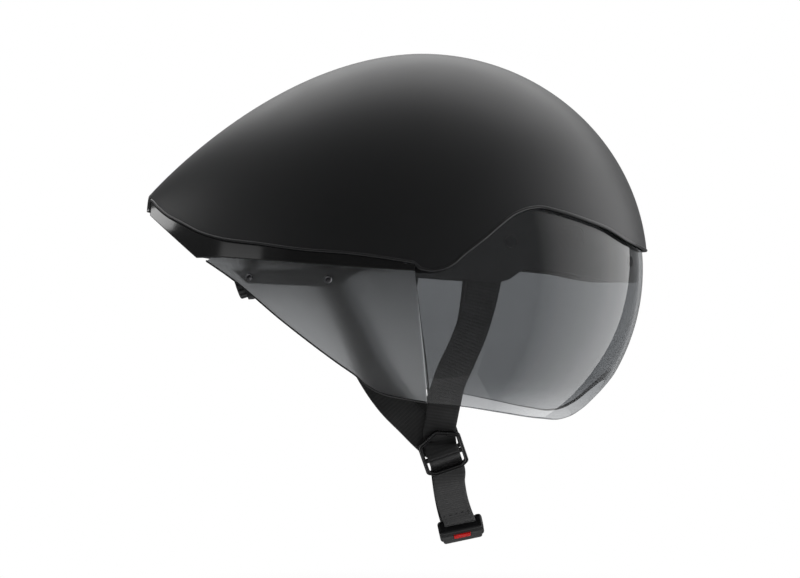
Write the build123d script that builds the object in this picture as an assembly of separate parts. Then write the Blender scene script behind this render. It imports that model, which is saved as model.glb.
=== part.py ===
from build123d import *
from functools import cache
from math import cos, pi, radians, sin, sqrt
import os

# Aero time trial helmet. Millimetres, +X forward, +Y to the wearer's left, +Z up.
# The origin is on the middle plane below the crown, where the wearer's head is centred.

# Outer form: an ellipsoid ahead of the crown, and a tail that narrows behind it
FRONT_LENGTH = 146.0
TAIL_LENGTH = 177.3
CROWN_HEIGHT = 140.0
HALF_WIDTH = 98.0
SKIRT_DEPTH = 140.0
TAIL_HEIGHT_DROP_SHARE, TAIL_HEIGHT_POWER = 0.645, 1.9
TAIL_TIP_DROP_SHARE, TAIL_TIP_POWER = 0.011, 12
TAIL_WIDTH_DROP_SHARE, TAIL_WIDTH_POWER = 0.806, 2.4
TAIL_STATION_SHARES = (0, 0.14, 0.28, 0.42, 0.56, 0.70, 0.82, 0.92, 1.0)
LEAD_STATION_SHARE = 0.12

# Walls and gaps
SHELL_WALL = 2.5
LENS_INSET = 3.0
LENS_WALL = 2.2
SEAT_WALL = 2.0
GAP = 0.3
SEAM_GAP = 0.5
LINER_STEP = 5.0
OVERRUN = 40.0

# Side outlines, as shares of the front length or tail length, and of the crown height
REAR_RIM_SHARES = (
    (-0.980, 0.313), (-0.914, 0.242), (-0.850, 0.200), (-0.789, 0.161), (-0.729, 0.136),
    (-0.557, 0.102), (-0.417, 0.077), (-0.248, 0.059), (-0.030, 0.018),
)
FRONT_RIM_SHARES = (
    (0.029, -0.016), (0.094, -0.001), (0.171, 0.061), (0.258, 0.131), (0.317, 0.184), (0.376, 0.230),
    (0.425, 0.251), (0.479, 0.260), (0.553, 0.246), (0.664, 0.214), (0.781, 0.173), (0.884, 0.119),
    (0.984, 0.083),
)
RIM_STEP_SHARES = (-0.014, -0.007)
TRIM_EDGE_SHARES = (
    (-0.795, 0.051), (-0.694, 0.051), (-0.510, 0.033), (-0.248, 0.007), (-0.031, -0.010),
)
TAIL_FACE_SHARE = 0.264
SEAT_EDGE_SHARES = (
    (-0.026, -0.032), (0.174, -0.048), (0.315, -0.057), (0.350, -0.048), (0.415, 0.001), (0.504, -0.006),
    (0.614, -0.018), (0.697, -0.039), (0.788, -0.057), (1.05, -0.061),
)
SEAM_SHARES = ((-0.033, -0.026), (0.016, -0.583))
VISOR_EDGE_SHARES = (
    (0.160, -0.600), (0.330, -0.632), (0.499, -0.664), (0.592, -0.673), (0.642, -0.660), (0.689, -0.633),
    (0.767, -0.564), (0.865, -0.462), (1.05, -0.270),
)
FAIRING_EDGE_SHARES = (
    (-0.759, 0.034), (-0.654, -0.053), (-0.487, -0.224), (-0.288, -0.414), (-0.231, -0.465),
    (-0.190, -0.511), (-0.141, -0.544), (-0.073, -0.564),
)
BRACKET_SHARES = ((-0.660, 0.0), (-0.607, -0.064), (-0.289, -0.083), (-0.241, -0.031), (-0.191, 0.0))

# Room for the head, an ellipsoid on an upright elliptical wall
HEAD_CENTRE_X = 3.0
HEAD_LENGTH_HALF = 100.0
HEAD_WIDTH_HALF = 79.0
HEAD_HEIGHT = 112.0
NAPE_RECESS_WIDTH = 84.0
NAPE_RECESS_TOP = 18.0
NAPE_RECESS_REAR = -134.0

# Small parts of the shell, fairings and visor
TAIL_CAP_DEPTH = 2.4
SEAT_RISE = 8.0
TUCK = 4.6
BRACKET_WALL = 2.2
SCREW_HEAD_RADIUS = 2.3
SCREW_HEAD_HEIGHT = 0.9
SCREW_SHANK_RADIUS = 1.2
SCREW_SHANK_LENGTH = 4.6
SCREW_PLACE_SHARES = ((-0.597, -0.036), (-0.323, -0.047))
MAGNET_RADIUS = 3.5
MAGNET_DEPTH = 1.1
MAGNET_PLACE_SHARES = ((0.885, 0.035), (0.356, 0.115))
VENT_LOW_SHARES, VENT_HIGH_SHARES = (0.56, 0.085), (0.67, 0.185)
VENT_ROUND = 5.0

# Pads, crowned towards the head, with sewn channels across them
PAD_THICKNESS = 6.0
PAD_ROUND = 5.0
PAD_EDGE = 2.0
PAD_CHANNEL_RADIUS = 1.6
PAD_CHANNEL_SHARES = (-0.44, 0.0, 0.44)
PAD_FOLLOW_SHARE = 0.7
BROW_PAD_HALF_WIDTH, BROW_PAD_LOW, BROW_PAD_HIGH = 56.0, 4.0, 30.0
BROW_PAD_CROWN_RADIUS, BROW_PAD_CROWN_Z = 27.9, 20.4
CROWN_PAD_LENGTH, CROWN_PAD_WIDTH = 92.0, 26.0
SIDE_PAD_LENGTH, SIDE_PAD_WIDTH, SIDE_PAD_SLANT = 60.0, 24.0, 48.0

# Webbing and what it runs through, with the right side's route; the left mirrors it
WEBBING_WIDTH = 20.0
WEBBING_THICKNESS = 1.2
ANCHOR_LENGTH, ANCHOR_THICKNESS, ANCHOR_HEIGHT = 24.0, 4.0, 7.0
ANCHOR_POCKET = 14.0
FRONT_ROUTE = ((36.8, -80.7, -4.5), (33.2, -79.5, -22.0), (28.6, -77.0, -38.0), (20.0, -73.0, -56.0))
FRONT_ROUTE_LOW = ((14.6, -69.3, -70.0), (12.2, -65.8, -84.0), (10.8, -62.4, -94.0))
REAR_ROUTE = ((-78.5, -69.2, 6.5), (-65.5, -69.0, -13.0), (-42.4, -67.5, -42.2), (-30.5, -66.5, -61.0))
REAR_ROUTE_LOW = ((-17.5, -64.2, -81.0), (-7.0, -61.8, -92.5))
CHIN_ROUTE = ((16.2, -51.0, -131.5), (17.3, -43.5, -139.5), (19.0, -35.5, -147.0), (21.5, -27.0, -154.8))
TONGUE_ROUTE = ((16.4, 51.5, -132.0), (17.5, 46.5, -143.0), (19.5, 39.0, -155.0), (22.3, 30.0, -165.5))
TONGUE_ROUTE_LOW = ((25.2, 20.5, -172.8),)

# Divider, a home-plate shaped ring with a bar across it
DIVIDER_CENTRE = (12.2, -60.0, -113.5)
DIVIDER_TURN, DIVIDER_LEAN = 18.8, 16.0
DIVIDER_HALF_WIDTH = 13.7
DIVIDER_APEX, DIVIDER_SHOULDER = 15.5, 9.4
DIVIDER_HIP, DIVIDER_FOOT, DIVIDER_FOOT_HALF = 9.8, 12.6, 8.5
DIVIDER_THICKNESS = 3.0
DIVIDER_RIM = 2.4
DIVIDER_BAR_HEIGHT, DIVIDER_BAR_THICKNESS, DIVIDER_BAR_DROP = 3.0, 1.6, 1.6
DIVIDER_LIP = 0.5
WEAVE_SLOPE = 2.5

# Buckle
BUCKLE_CENTRE = (25.0, -8.0, -166.6)
BUCKLE_ROLL, BUCKLE_TILT = 12.0, 25.0
SOCKET_WIDTH, SOCKET_LENGTH, SOCKET_THICKNESS = 29.0, 19.0, 9.0
SOCKET_ROUND = 2.0
MOUTH_WIDTH, MOUTH_HEIGHT, MOUTH_DEPTH = 22.0, 4.6, 13.0
TONGUE_HEAD_LENGTH, TONGUE_HEAD_WIDTH, TONGUE_HEAD_THICKNESS = 8.0, 26.0, 7.0
TONGUE_REACH = 12.0
TONGUE_WINDOW = 8.0
BUTTON_WIDTH, BUTTON_LENGTH = 11.0, 7.0
BUTTON_PROUD, BUTTON_THICKNESS = 0.5, 1.3
BUTTON_PLACE = 2.0

# Fit system at the nape
TEMPLE_PIN_X, TEMPLE_PIN_Z = 15.0, 8.0
PIN_RADIUS, PIN_HEAD_RADIUS, PIN_HEAD_THICKNESS = 2.0, 4.0, 1.2
PIN_GRIP = 6.0
PIN_FIT = 0.08
BAND_TRAVEL = 5.0
BAND_CLEARANCE = 2.5
BAND_WALL = 1.6
BAND_HEIGHT = 10.0
BAND_REAR_X, BAND_REAR_Z = -84.0, -8.0
DIAL_FACE_CENTRE = (-120.9, 0.0, -8.0)
DIAL_TILT = 17.0
DIAL_RADIUS, DIAL_THICKNESS = 11.5, 5.6
DIAL_GRIPS = 18
DIAL_GRIP_RADIUS = 0.9
HOUSING_GAP = 0.4
HOUSING_DEPTH, HOUSING_WIDTH = 12.0, 40.0
HOUSING_TOP, HOUSING_BOTTOM = 9.5, 13.5
HOUSING_ROUND = 3.0
TOOTH_MODULE = 0.8
PINION_TEETH = 8
TOOTH_HEIGHT = 1.4
TOOTH_THICKNESS_SHARE = 0.34
RACK_THICKNESS, RACK_DEPTH = 2.0, 5.0
RACK_PAST = 9.0
SHAFT_RADIUS = 1.5
SHAFT_FIT = 0.05
NAPE_PAD_THICKNESS = 5.0

SIDES = {"right": 1, "left": -1}
PITCH_RADIUS = TOOTH_MODULE * PINION_TEETH / 2
TOOTH_PITCH = pi * TOOTH_MODULE


# Outer form and its offsets

def side_point(x_share, z_share, raised=0.0):
    length = FRONT_LENGTH if x_share > 0 else TAIL_LENGTH
    return (x_share * length, z_share * CROWN_HEIGHT + raised)


def side_points(shares, raised=0.0):
    return [side_point(x_share, z_share, raised) for x_share, z_share in shares]


def tail_size(share):
    """Half width and height of the tail's section at a share of the tail's length."""
    drop = TAIL_HEIGHT_DROP_SHARE * share**TAIL_HEIGHT_POWER + TAIL_TIP_DROP_SHARE * share**TAIL_TIP_POWER
    narrowing = TAIL_WIDTH_DROP_SHARE * share**TAIL_WIDTH_POWER
    return HALF_WIDTH * (1 - narrowing), CROWN_HEIGHT * (1 - drop)


def section(x, half_width, height, depth):
    plane = Plane(origin=(x, 0, 0), x_dir=(0, 1, 0), z_dir=(1, 0, 0))
    upper = EllipticalCenterArc((0, 0), half_width, height, 0, arc_size=180)
    lower = EllipticalCenterArc((0, 0), half_width, depth, 180, arc_size=180)
    return plane * make_face([upper, lower])


def tail_form(inset):
    lead = LEAD_STATION_SHARE * FRONT_LENGTH
    ahead = sqrt(1 - LEAD_STATION_SHARE**2)
    sections = [section(
        lead, ahead * HALF_WIDTH - inset, ahead * CROWN_HEIGHT - inset, ahead * SKIRT_DEPTH - inset
    )]
    for share in TAIL_STATION_SHARES:
        half_width, height = tail_size(share)
        sections.append(section(
            -share * TAIL_LENGTH, half_width - inset, height - inset, SKIRT_DEPTH - inset
        ))
    return loft(sections) & half_space(0, -1)


def front_form(inset):
    ball = Rotation(0, 90, 0) * Sphere(1)
    sizes = (FRONT_LENGTH - inset, HALF_WIDTH - inset, CROWN_HEIGHT - inset)
    return scale(ball, by=sizes) & half_space(0, 1)


def half_space(x, direction):
    """Everything ahead of x for direction 1, or behind it for -1."""
    reach = FRONT_LENGTH + TAIL_LENGTH
    return Pos(x + direction * reach / 2, 0, 0) * Box(reach, 2 * reach, 2 * reach)


@cache
def form(inset):
    return front_form(inset) + tail_form(inset)


def form_y(x, z, inset):
    """Half width of the form at a place on its side."""
    if x > 0:
        length, height = FRONT_LENGTH - inset, CROWN_HEIGHT - inset
        return (HALF_WIDTH - inset) * sqrt(1 - (x / length) ** 2 - (z / height) ** 2)
    half_width, height = tail_size(-x / TAIL_LENGTH)
    height = height if z > 0 else SKIRT_DEPTH
    return (half_width - inset) * sqrt(1 - (z / (height - inset)) ** 2)


def form_plane(x, z, inset, side):
    """Plane on the form's side, its normal outwards; side is 1 on the right and -1 on the left."""
    step = GAP
    y = form_y(x, z, inset)
    along = Vector(2 * step, -side * (form_y(x + step, z, inset) - form_y(x - step, z, inset)), 0)
    upward = Vector(0, -side * (form_y(x, z + step, inset) - form_y(x, z - step, inset)), 2 * step)
    normal = along.cross(upward) * side
    return Plane(origin=(x, -side * y, z), x_dir=along, z_dir=normal)


def side_prism(*edges):
    """Solid from a closed side outline, given as straight or curved edges, through the whole width."""
    face = Plane.XZ * make_face(list(edges))
    return extrude(face, HALF_WIDTH + OVERRUN, both=True)


def closed_prism(points):
    return side_prism(Polyline(*points, close=True))


# Side outlines, each the region that a wall keeps

def rim_edges(raised):
    rear = Spline(*side_points(REAR_RIM_SHARES, raised))
    front = Spline(*side_points(FRONT_RIM_SHARES, raised))
    step = side_point(*RIM_STEP_SHARES, raised)
    return rear, Polyline(rear @ 1, step, front @ 0), front


def above_rim(raised):
    rear, step, front = rim_edges(raised)
    ahead, behind = FRONT_LENGTH + OVERRUN, -TAIL_LENGTH - OVERRUN
    top = CROWN_HEIGHT + OVERRUN
    nose, tail = front @ 1, rear @ 0
    lid = Polyline(nose, (ahead, nose.Y), (ahead, top), (behind, top), (behind, tail.Y), tail)
    return side_prism(rear, step, front, lid)


def above_front_rim(raised):
    front = Spline(*side_points(FRONT_RIM_SHARES, raised))
    ahead, top = FRONT_LENGTH + OVERRUN, CROWN_HEIGHT + OVERRUN
    start, nose = front @ 0, front @ 1
    behind = side_point(*REAR_RIM_SHARES[-1])[0] + SEAM_GAP
    lid = Polyline(nose, (ahead, nose.Y), (ahead, top), (behind, top), (behind, start.Y), start)
    return side_prism(front, lid)


def trim_line(raised):
    tail = (-TAIL_LENGTH, TAIL_FACE_SHARE * CROWN_HEIGHT + raised)
    return [tail] + side_points(TRIM_EDGE_SHARES, raised)


def trim_region():
    rear = Spline(*side_points(REAR_RIM_SHARES, -GAP))
    behind = (-TAIL_LENGTH - OVERRUN, (rear @ 0).Y)
    low_behind = (-TAIL_LENGTH - OVERRUN, trim_line(0)[0][1])
    edge = Polyline(rear @ 0, behind, low_behind, *trim_line(0), rear @ 1)
    return side_prism(rear, edge)


def above_trim(raised, tuck):
    """Above the trim's lower line, with a step up by the tuck where the fairing slips behind it."""
    tail, heel, *edge = trim_line(raised)
    stepped = [(x, z + tuck) for x, z in [heel] + edge]
    top = CROWN_HEIGHT + OVERRUN
    corners = [(tail[0] - OVERRUN, tail[1]), tail, heel, *stepped, (stepped[-1][0], top)]
    return closed_prism(corners + [(tail[0] - OVERRUN, top)])


def above_seat_edge(raised):
    edge = side_points(SEAT_EDGE_SHARES, raised)
    top = CROWN_HEIGHT + OVERRUN
    return closed_prism(edge + [(edge[-1][0], top), (edge[0][0], top)])


def above_lower_edge(raised):
    """Above the trim's lower line at the back and the seat's lower edge at the front."""
    edge = trim_line(raised) + side_points(SEAT_EDGE_SHARES, raised)
    behind, ahead, top = edge[0][0] - OVERRUN, edge[-1][0], CROWN_HEIGHT + OVERRUN
    return closed_prism([(behind, edge[0][1])] + edge + [(ahead, top), (behind, top)])


def visor_region():
    top = Spline(*side_points(FRONT_RIM_SHARES, -SEAM_GAP))
    seam_top, seam_foot = side_points(SEAM_SHARES)
    start = (seam_top[0] + GAP, (top @ 0).Y)
    foot = (seam_foot[0] + GAP, seam_foot[1])
    low = Spline(foot, *side_points(VISOR_EDGE_SHARES))
    ahead = FRONT_LENGTH + OVERRUN
    nose = Polyline(low @ 1, (ahead, (low @ 1).Y), (ahead, (top @ 1).Y), top @ 1)
    return side_prism(top, Polyline(top @ 0, start, foot), low, nose)


def fairing_region():
    seam_top, seam_foot = side_points(SEAM_SHARES)
    low = Spline(*side_points(FAIRING_EDGE_SHARES), seam_foot)
    upper = [point for point in side_points(TRIM_EDGE_SHARES, TUCK)[1:]]
    front = (seam_top[0], upper[-1][1])
    return side_prism(low, Polyline(low @ 1, seam_top, front, *reversed(upper), low @ 0))


def bracket_region():
    lower = side_points(BRACKET_SHARES)
    upper = side_points(TRIM_EDGE_SHARES, TUCK)[1:4]
    return closed_prism(lower + list(reversed(upper)))


@cache
def skin(inset, wall):
    return form(inset) - form(inset + wall)


def one_side(side):
    reach = FRONT_LENGTH + TAIL_LENGTH
    return Pos(0, -side * reach, 0) * Box(2 * reach, 2 * reach, 2 * reach)


# Shell, trim, seat and liner

def outer_shell():
    ahead_of_cap = half_space(-TAIL_LENGTH + TAIL_CAP_DEPTH + GAP, 1)
    return skin(0, SHELL_WALL) & above_rim(0) & ahead_of_cap


def lower_trim(side):
    ahead_of_cap = half_space(-TAIL_LENGTH + TAIL_CAP_DEPTH + GAP, 1)
    return skin(0, SHELL_WALL) & trim_region() & ahead_of_cap & one_side(side)


def tail_cap():
    floor = trim_line(0)[0][1]
    height = CROWN_HEIGHT
    slab = Pos(-TAIL_LENGTH + TAIL_CAP_DEPTH / 2, 0, floor + height / 2)
    return tail_form(0) & (slab * Box(TAIL_CAP_DEPTH, 2 * HALF_WIDTH, height))


def vent(side):
    low, high = side_point(*VENT_LOW_SHARES), side_point(*VENT_HIGH_SHARES)
    middle = ((low[0] + high[0]) / 2, (low[1] + high[1]) / 2)
    window = Plane.XZ * (Pos(*middle) * RectangleRounded(high[0] - low[0], high[1] - low[1], VENT_ROUND))
    return extrude(window, HALF_WIDTH + OVERRUN, both=True) & one_side(side)


def visor_seat():
    inset = LENS_INSET + LENS_WALL + SEAM_GAP
    ring = skin(inset, SEAT_WALL) & above_seat_edge(0)
    ring -= above_front_rim(SEAT_RISE)
    for side in SIDES.values():
        ring -= vent(side)
        for place in MAGNET_PLACE_SHARES:
            ring -= magnet_pocket(place, inset, side)
    return ring


def magnet_pocket(place, inset, side):
    plane = form_plane(*side_point(*place), inset, side)
    depth = 2 * SEAT_WALL
    return plane * Pos(0, 0, -MAGNET_DEPTH / 2) * Cylinder(MAGNET_RADIUS + GAP, depth)


def head_space(shrink):
    sizes = (HEAD_LENGTH_HALF - shrink, HEAD_WIDTH_HALF - shrink, HEAD_HEIGHT - shrink)
    dome = Pos(HEAD_CENTRE_X, 0, 0) * scale(Sphere(1), by=sizes)
    wall = extrude(Ellipse(sizes[0], sizes[1]), -CROWN_HEIGHT)
    return dome + Pos(HEAD_CENTRE_X, 0, 0) * wall


def nape_recess():
    length = HEAD_CENTRE_X - NAPE_RECESS_REAR
    height = NAPE_RECESS_TOP + CROWN_HEIGHT
    place = Pos(NAPE_RECESS_REAR + length / 2, 0, NAPE_RECESS_TOP - height / 2)
    return place * Box(length, NAPE_RECESS_WIDTH, height)


def liner():
    lift = SEAM_GAP
    ahead_of_cap = half_space(-TAIL_LENGTH + TAIL_CAP_DEPTH + 2 * GAP, 1)
    seat_back = LENS_INSET + LENS_WALL + SEAM_GAP + SEAT_WALL + GAP
    core = form(seat_back) & above_lower_edge(lift)
    jacket = form(SHELL_WALL + GAP) & (above_trim(lift, LINER_STEP) + above_front_rim(SEAT_RISE + GAP))
    foam = (core + jacket) & ahead_of_cap
    foam = foam - head_space(0) - nape_recess()
    for side in SIDES.values():
        for route in (FRONT_ROUTE, REAR_ROUTE):
            foam -= anchor_pocket(route, side)
        foam -= pin_body(side, PIN_FIT)
    return foam


# Visor and fairings

def visor_lens():
    lens = skin(LENS_INSET, LENS_WALL) & visor_region()
    for side in SIDES.values():
        for place in MAGNET_PLACE_SHARES:
            plane = form_plane(*side_point(*place), LENS_INSET + LENS_WALL, side)
            lens -= plane * Cylinder(MAGNET_RADIUS + GAP / 2, 2 * MAGNET_DEPTH)
    return lens


def visor_magnets():
    """Discs let into the lens from its inner face."""
    discs = []
    for side in SIDES.values():
        for place in MAGNET_PLACE_SHARES:
            plane = form_plane(*side_point(*place), LENS_INSET + LENS_WALL, side)
            depth = MAGNET_DEPTH - GAP
            discs.append(plane * Pos(0, 0, depth / 2) * Cylinder(MAGNET_RADIUS, depth))
    return Compound(discs)


def seat_magnets():
    """Discs let into the seat from its outer face."""
    discs = []
    for side in SIDES.values():
        for place in MAGNET_PLACE_SHARES:
            plane = form_plane(*side_point(*place), LENS_INSET + LENS_WALL + SEAM_GAP, side)
            discs.append(plane * Pos(0, 0, -GAP - MAGNET_DEPTH / 2) * Cylinder(MAGNET_RADIUS, MAGNET_DEPTH))
    return Compound(discs)


def fairing(side):
    wall = skin(LENS_INSET, LENS_WALL) & fairing_region() & one_side(side)
    for place in SCREW_PLACE_SHARES:
        wall -= screw_hole(place, side)
    return wall


def fairing_bracket(side):
    inset = LENS_INSET + LENS_WALL + GAP
    wall = skin(inset, BRACKET_WALL) & bracket_region() & one_side(side)
    for place in SCREW_PLACE_SHARES:
        wall -= screw_hole(place, side)
    return wall


def screw_hole(place, side):
    plane = form_plane(*side_point(*place), LENS_INSET, side)
    return plane * Cylinder(SCREW_SHANK_RADIUS + GAP / 2, 2 * SCREW_SHANK_LENGTH + OVERRUN)


def fairing_screws():
    screws = []
    for side in SIDES.values():
        for place in SCREW_PLACE_SHARES:
            plane = form_plane(*side_point(*place), LENS_INSET, side)
            seat = GAP
            head = Pos(0, 0, seat + SCREW_HEAD_HEIGHT / 2) * Cylinder(SCREW_HEAD_RADIUS, SCREW_HEAD_HEIGHT)
            socket = Pos(0, 0, seat + SCREW_HEAD_HEIGHT) * Box(
                SCREW_HEAD_RADIUS, SCREW_HEAD_HEIGHT / 2, SCREW_HEAD_HEIGHT
            )
            shank = Pos(0, 0, seat - SCREW_SHANK_LENGTH / 2) * Cylinder(SCREW_SHANK_RADIUS, SCREW_SHANK_LENGTH)
            screws.append(plane * (head + shank - socket))
    return Compound(screws)


# Pads

def brow_pad():
    """Band round the brow, its inner face a slice of a ring that bulges towards the head."""
    height = BROW_PAD_HIGH - BROW_PAD_LOW
    patch = RectangleRounded(2 * BROW_PAD_HALF_WIDTH, height, PAD_ROUND)
    plane = Plane(origin=(0, 0, BROW_PAD_LOW + height / 2), x_dir=(0, 1, 0), z_dir=(1, 0, 0))
    reach = HEAD_LENGTH_HALF - GAP - PAD_THICKNESS
    ring = Torus(reach + BROW_PAD_CROWN_RADIUS, BROW_PAD_CROWN_RADIUS)
    slimmer = (HEAD_WIDTH_HALF - GAP - PAD_THICKNESS) / reach
    crown = Pos(HEAD_CENTRE_X, 0, BROW_PAD_CROWN_Z) * scale(ring, by=(1, slimmer, 1))
    pad = head_space(GAP) & extrude(plane * patch, FRONT_LENGTH) & crown
    for share in PAD_CHANNEL_SHARES:
        y = share * BROW_PAD_HALF_WIDTH
        x = HEAD_CENTRE_X + reach * sqrt(1 - (y / (slimmer * reach)) ** 2)
        pad -= Pos(x, y, BROW_PAD_LOW) * Cylinder(PAD_CHANNEL_RADIUS, 2 * height + height)
    return pad


def wall_fall(place, normal, step):
    """How far the head room's wall falls away from its tangent plane, one step along that plane."""
    sizes = (HEAD_LENGTH_HALF - GAP, HEAD_WIDTH_HALF - GAP, HEAD_HEIGHT - GAP)
    start = Vector(*[value / size for value, size in zip(place + step, sizes)])
    down = Vector(*[value / size for value, size in zip(normal, sizes)])
    square, cross, rest = down.dot(down), start.dot(down), start.dot(start) - 1
    return (cross - sqrt(cross**2 - square * rest)) / square


def crowned_pad(turn, length, width):
    """Cushion on the head room's wall, thick in the middle and thin at its edges, at an angle above level."""
    wide, high = HEAD_WIDTH_HALF - GAP, HEAD_HEIGHT - GAP
    reach = 1 / sqrt((cos(turn) / wide) ** 2 + (sin(turn) / high) ** 2)
    place = Vector(0, -reach * cos(turn), reach * sin(turn))
    normal = Vector(0, place.Y / wide**2, place.Z / high**2).normalized()
    plane = Plane(origin=place + Vector(HEAD_CENTRE_X, 0, 0), x_dir=(1, 0, 0), z_dir=normal)
    rise = PAD_THICKNESS - PAD_EDGE
    fall = PAD_FOLLOW_SHARE * wall_fall(place, normal, plane.x_dir * (length / 2))
    bulge = rise - wall_fall(place, normal, plane.y_dir * (width / 2))
    long_radius = ((length / 2) ** 2 + fall**2) / (2 * fall)
    crown_radius = ((width / 2) ** 2 + bulge**2) / (2 * bulge)
    ring = Rotation(90, 0, 0) * Torus(long_radius + crown_radius, crown_radius)
    crown = Pos(0, 0, -PAD_THICKNESS - long_radius) * ring
    patch = extrude(RectangleRounded(length, width, PAD_ROUND), 2 * width, both=True)
    pad = head_space(GAP) & (plane * patch) & (plane * crown)
    for share in PAD_CHANNEL_SHARES:
        sunk = -PAD_THICKNESS - fall * share**2
        channel = Pos(share * length / 2, 0, sunk) * Rotation(90, 0, 0)
        pad -= plane * (channel * Cylinder(PAD_CHANNEL_RADIUS, 2 * width))
    return pad


def crown_pad():
    return crowned_pad(pi / 2, CROWN_PAD_LENGTH, CROWN_PAD_WIDTH)


def side_pad(side):
    pad = crowned_pad(radians(SIDE_PAD_SLANT), SIDE_PAD_LENGTH, SIDE_PAD_WIDTH)
    return pad if side > 0 else mirror(pad, about=Plane.XZ)


# Webbing

def mirrored(point, side):
    x, y, z = point
    return Vector(x, side * y, z)


def ribbon(points, outwards):
    """Flat webbing through the points, its face turned at each point towards an outward direction."""
    faces = []
    for index, point in enumerate(points):
        before, after = points[max(index - 1, 0)], points[min(index + 1, len(points) - 1)]
        tangent = (after - before).normalized()
        plane = Plane(origin=point, x_dir=tangent.cross(outwards[index]), z_dir=tangent)
        faces.append(plane * Rectangle(WEBBING_WIDTH, WEBBING_THICKNESS))
    return loft(faces, ruled=True)


def anchor_plane(route, side):
    """Plane at the top of a strap, its normal back up along the strap."""
    start, after = mirrored(route[0], side), mirrored(route[1], side)
    tangent = (after - start).normalized()
    return Plane(origin=start, x_dir=tangent.cross(Vector(0, -side, 0)), z_dir=-tangent)


def strap_anchors():
    block = Pos(0, 0, GAP + ANCHOR_HEIGHT / 2) * Box(ANCHOR_LENGTH, ANCHOR_THICKNESS, ANCHOR_HEIGHT)
    routes = (FRONT_ROUTE, REAR_ROUTE)
    return Compound([anchor_plane(route, side) * block for side in SIDES.values() for route in routes])


def anchor_pocket(route, side):
    """Slot up into the liner for an anchor and the strap's first stretch."""
    height = ANCHOR_HEIGHT + 2 * GAP + ANCHOR_POCKET
    slot = Box(ANCHOR_LENGTH + 2 * GAP, ANCHOR_THICKNESS + 2 * GAP, height)
    return anchor_plane(route, side) * Pos(0, 0, height / 2 - ANCHOR_POCKET) * slot


def divider_plane(side):
    turn, lean = radians(DIVIDER_TURN), radians(DIVIDER_LEAN)
    across = Vector(cos(turn), 0, sin(turn))
    upward = Vector(-sin(turn) * cos(lean), -side * sin(lean), cos(turn) * cos(lean))
    outward = across.cross(upward) * side
    return Plane(origin=mirrored(DIVIDER_CENTRE, side), x_dir=across, z_dir=outward)


def divider_place(side, across, upward, outward):
    """World point from the divider's own across, up and outward distances."""
    plane = divider_plane(side)
    return plane.origin + plane.x_dir * across + plane.y_dir * side * upward + plane.z_dir * outward


def weave_heights():
    """Outward places of the webbing behind the ring, over the bar, and behind the other webbing."""
    behind = -DIVIDER_THICKNESS / 2 - GAP - WEBBING_THICKNESS / 2
    over = DIVIDER_BAR_THICKNESS / 2 + GAP + WEBBING_THICKNESS / 2
    return behind, over, behind - WEBBING_THICKNESS - GAP


def strap_front(side):
    behind, over, _ = weave_heights()
    bar_top = DIVIDER_BAR_HEIGHT / 2 - DIVIDER_BAR_DROP
    inner = DIVIDER_SHOULDER - DIVIDER_RIM
    upper = [mirrored(point, side) for point in FRONT_ROUTE + FRONT_ROUTE_LOW]
    lower = [
        divider_place(side, DIVIDER_RIM, DIVIDER_APEX - DIVIDER_RIM / 2, behind),
        divider_place(side, DIVIDER_RIM / 4, inner, behind),
        divider_place(side, 0, inner - WEAVE_SLOPE, 0),
        divider_place(side, 0, bar_top, over),
        divider_place(side, 0, GAP / 2 - DIVIDER_BAR_DROP, over),
    ]
    outwards = [Vector(0, -side, 0)] * (len(upper) - 1) + [divider_plane(side).z_dir] * (len(lower) + 1)
    return ribbon(upper + lower, outwards)


def strap_rear(side):
    _, _, backmost = weave_heights()
    upper = [mirrored(point, side) for point in REAR_ROUTE + REAR_ROUTE_LOW]
    lower = [
        divider_place(side, -2 * DIVIDER_RIM, DIVIDER_SHOULDER, backmost),
        divider_place(side, 0, DIVIDER_RIM / 2, backmost),
    ]
    outwards = [Vector(0, -side, 0)] * (len(upper) - 1) + [divider_plane(side).z_dir] * (len(lower) + 1)
    return ribbon(upper + lower, outwards)


def chin_start(side):
    behind, over, _ = weave_heights()
    bar_foot = -DIVIDER_BAR_HEIGHT / 2 - DIVIDER_BAR_DROP
    return [
        divider_place(side, 0, -GAP / 2 - DIVIDER_BAR_DROP, over),
        divider_place(side, 0, bar_foot, over),
        divider_place(side, 0, bar_foot - WEAVE_SLOPE, 0),
        divider_place(side, 0, WEBBING_THICKNESS - DIVIDER_HIP, behind),
        divider_place(side, 0, -DIVIDER_FOOT - DIVIDER_RIM / 2, behind),
    ]


def chin_strap(side, route, ends):
    """Webbing from the divider's bar to the buckle, turning from the one's face to the other's."""
    start, middle = chin_start(side), [Vector(point) for point in route]
    first, last = divider_plane(side).z_dir, buckle_plane().z_dir
    outwards = [first] * len(start)
    for index in range(len(middle)):
        share = (index + 1) / (len(middle) + 1)
        outwards.append(first * (1 - share) + last * share)
    return ribbon(start + middle + ends, outwards + [last] * len(ends))


def chin_strap_right():
    end = buckle_place(0, SOCKET_LENGTH / 2 + GAP, 0)
    before = buckle_place(0, SOCKET_LENGTH / 2 + WEBBING_WIDTH / 4, 0)
    return chin_strap(1, CHIN_ROUTE, [before, end])


def chin_strap_left():
    end = buckle_place(0, -SOCKET_LENGTH / 2 - TONGUE_HEAD_LENGTH - 2 * GAP, 0)
    before = end - buckle_plane().y_dir * WEBBING_WIDTH / 5
    return chin_strap(-1, TONGUE_ROUTE + TONGUE_ROUTE_LOW, [before, end])


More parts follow.
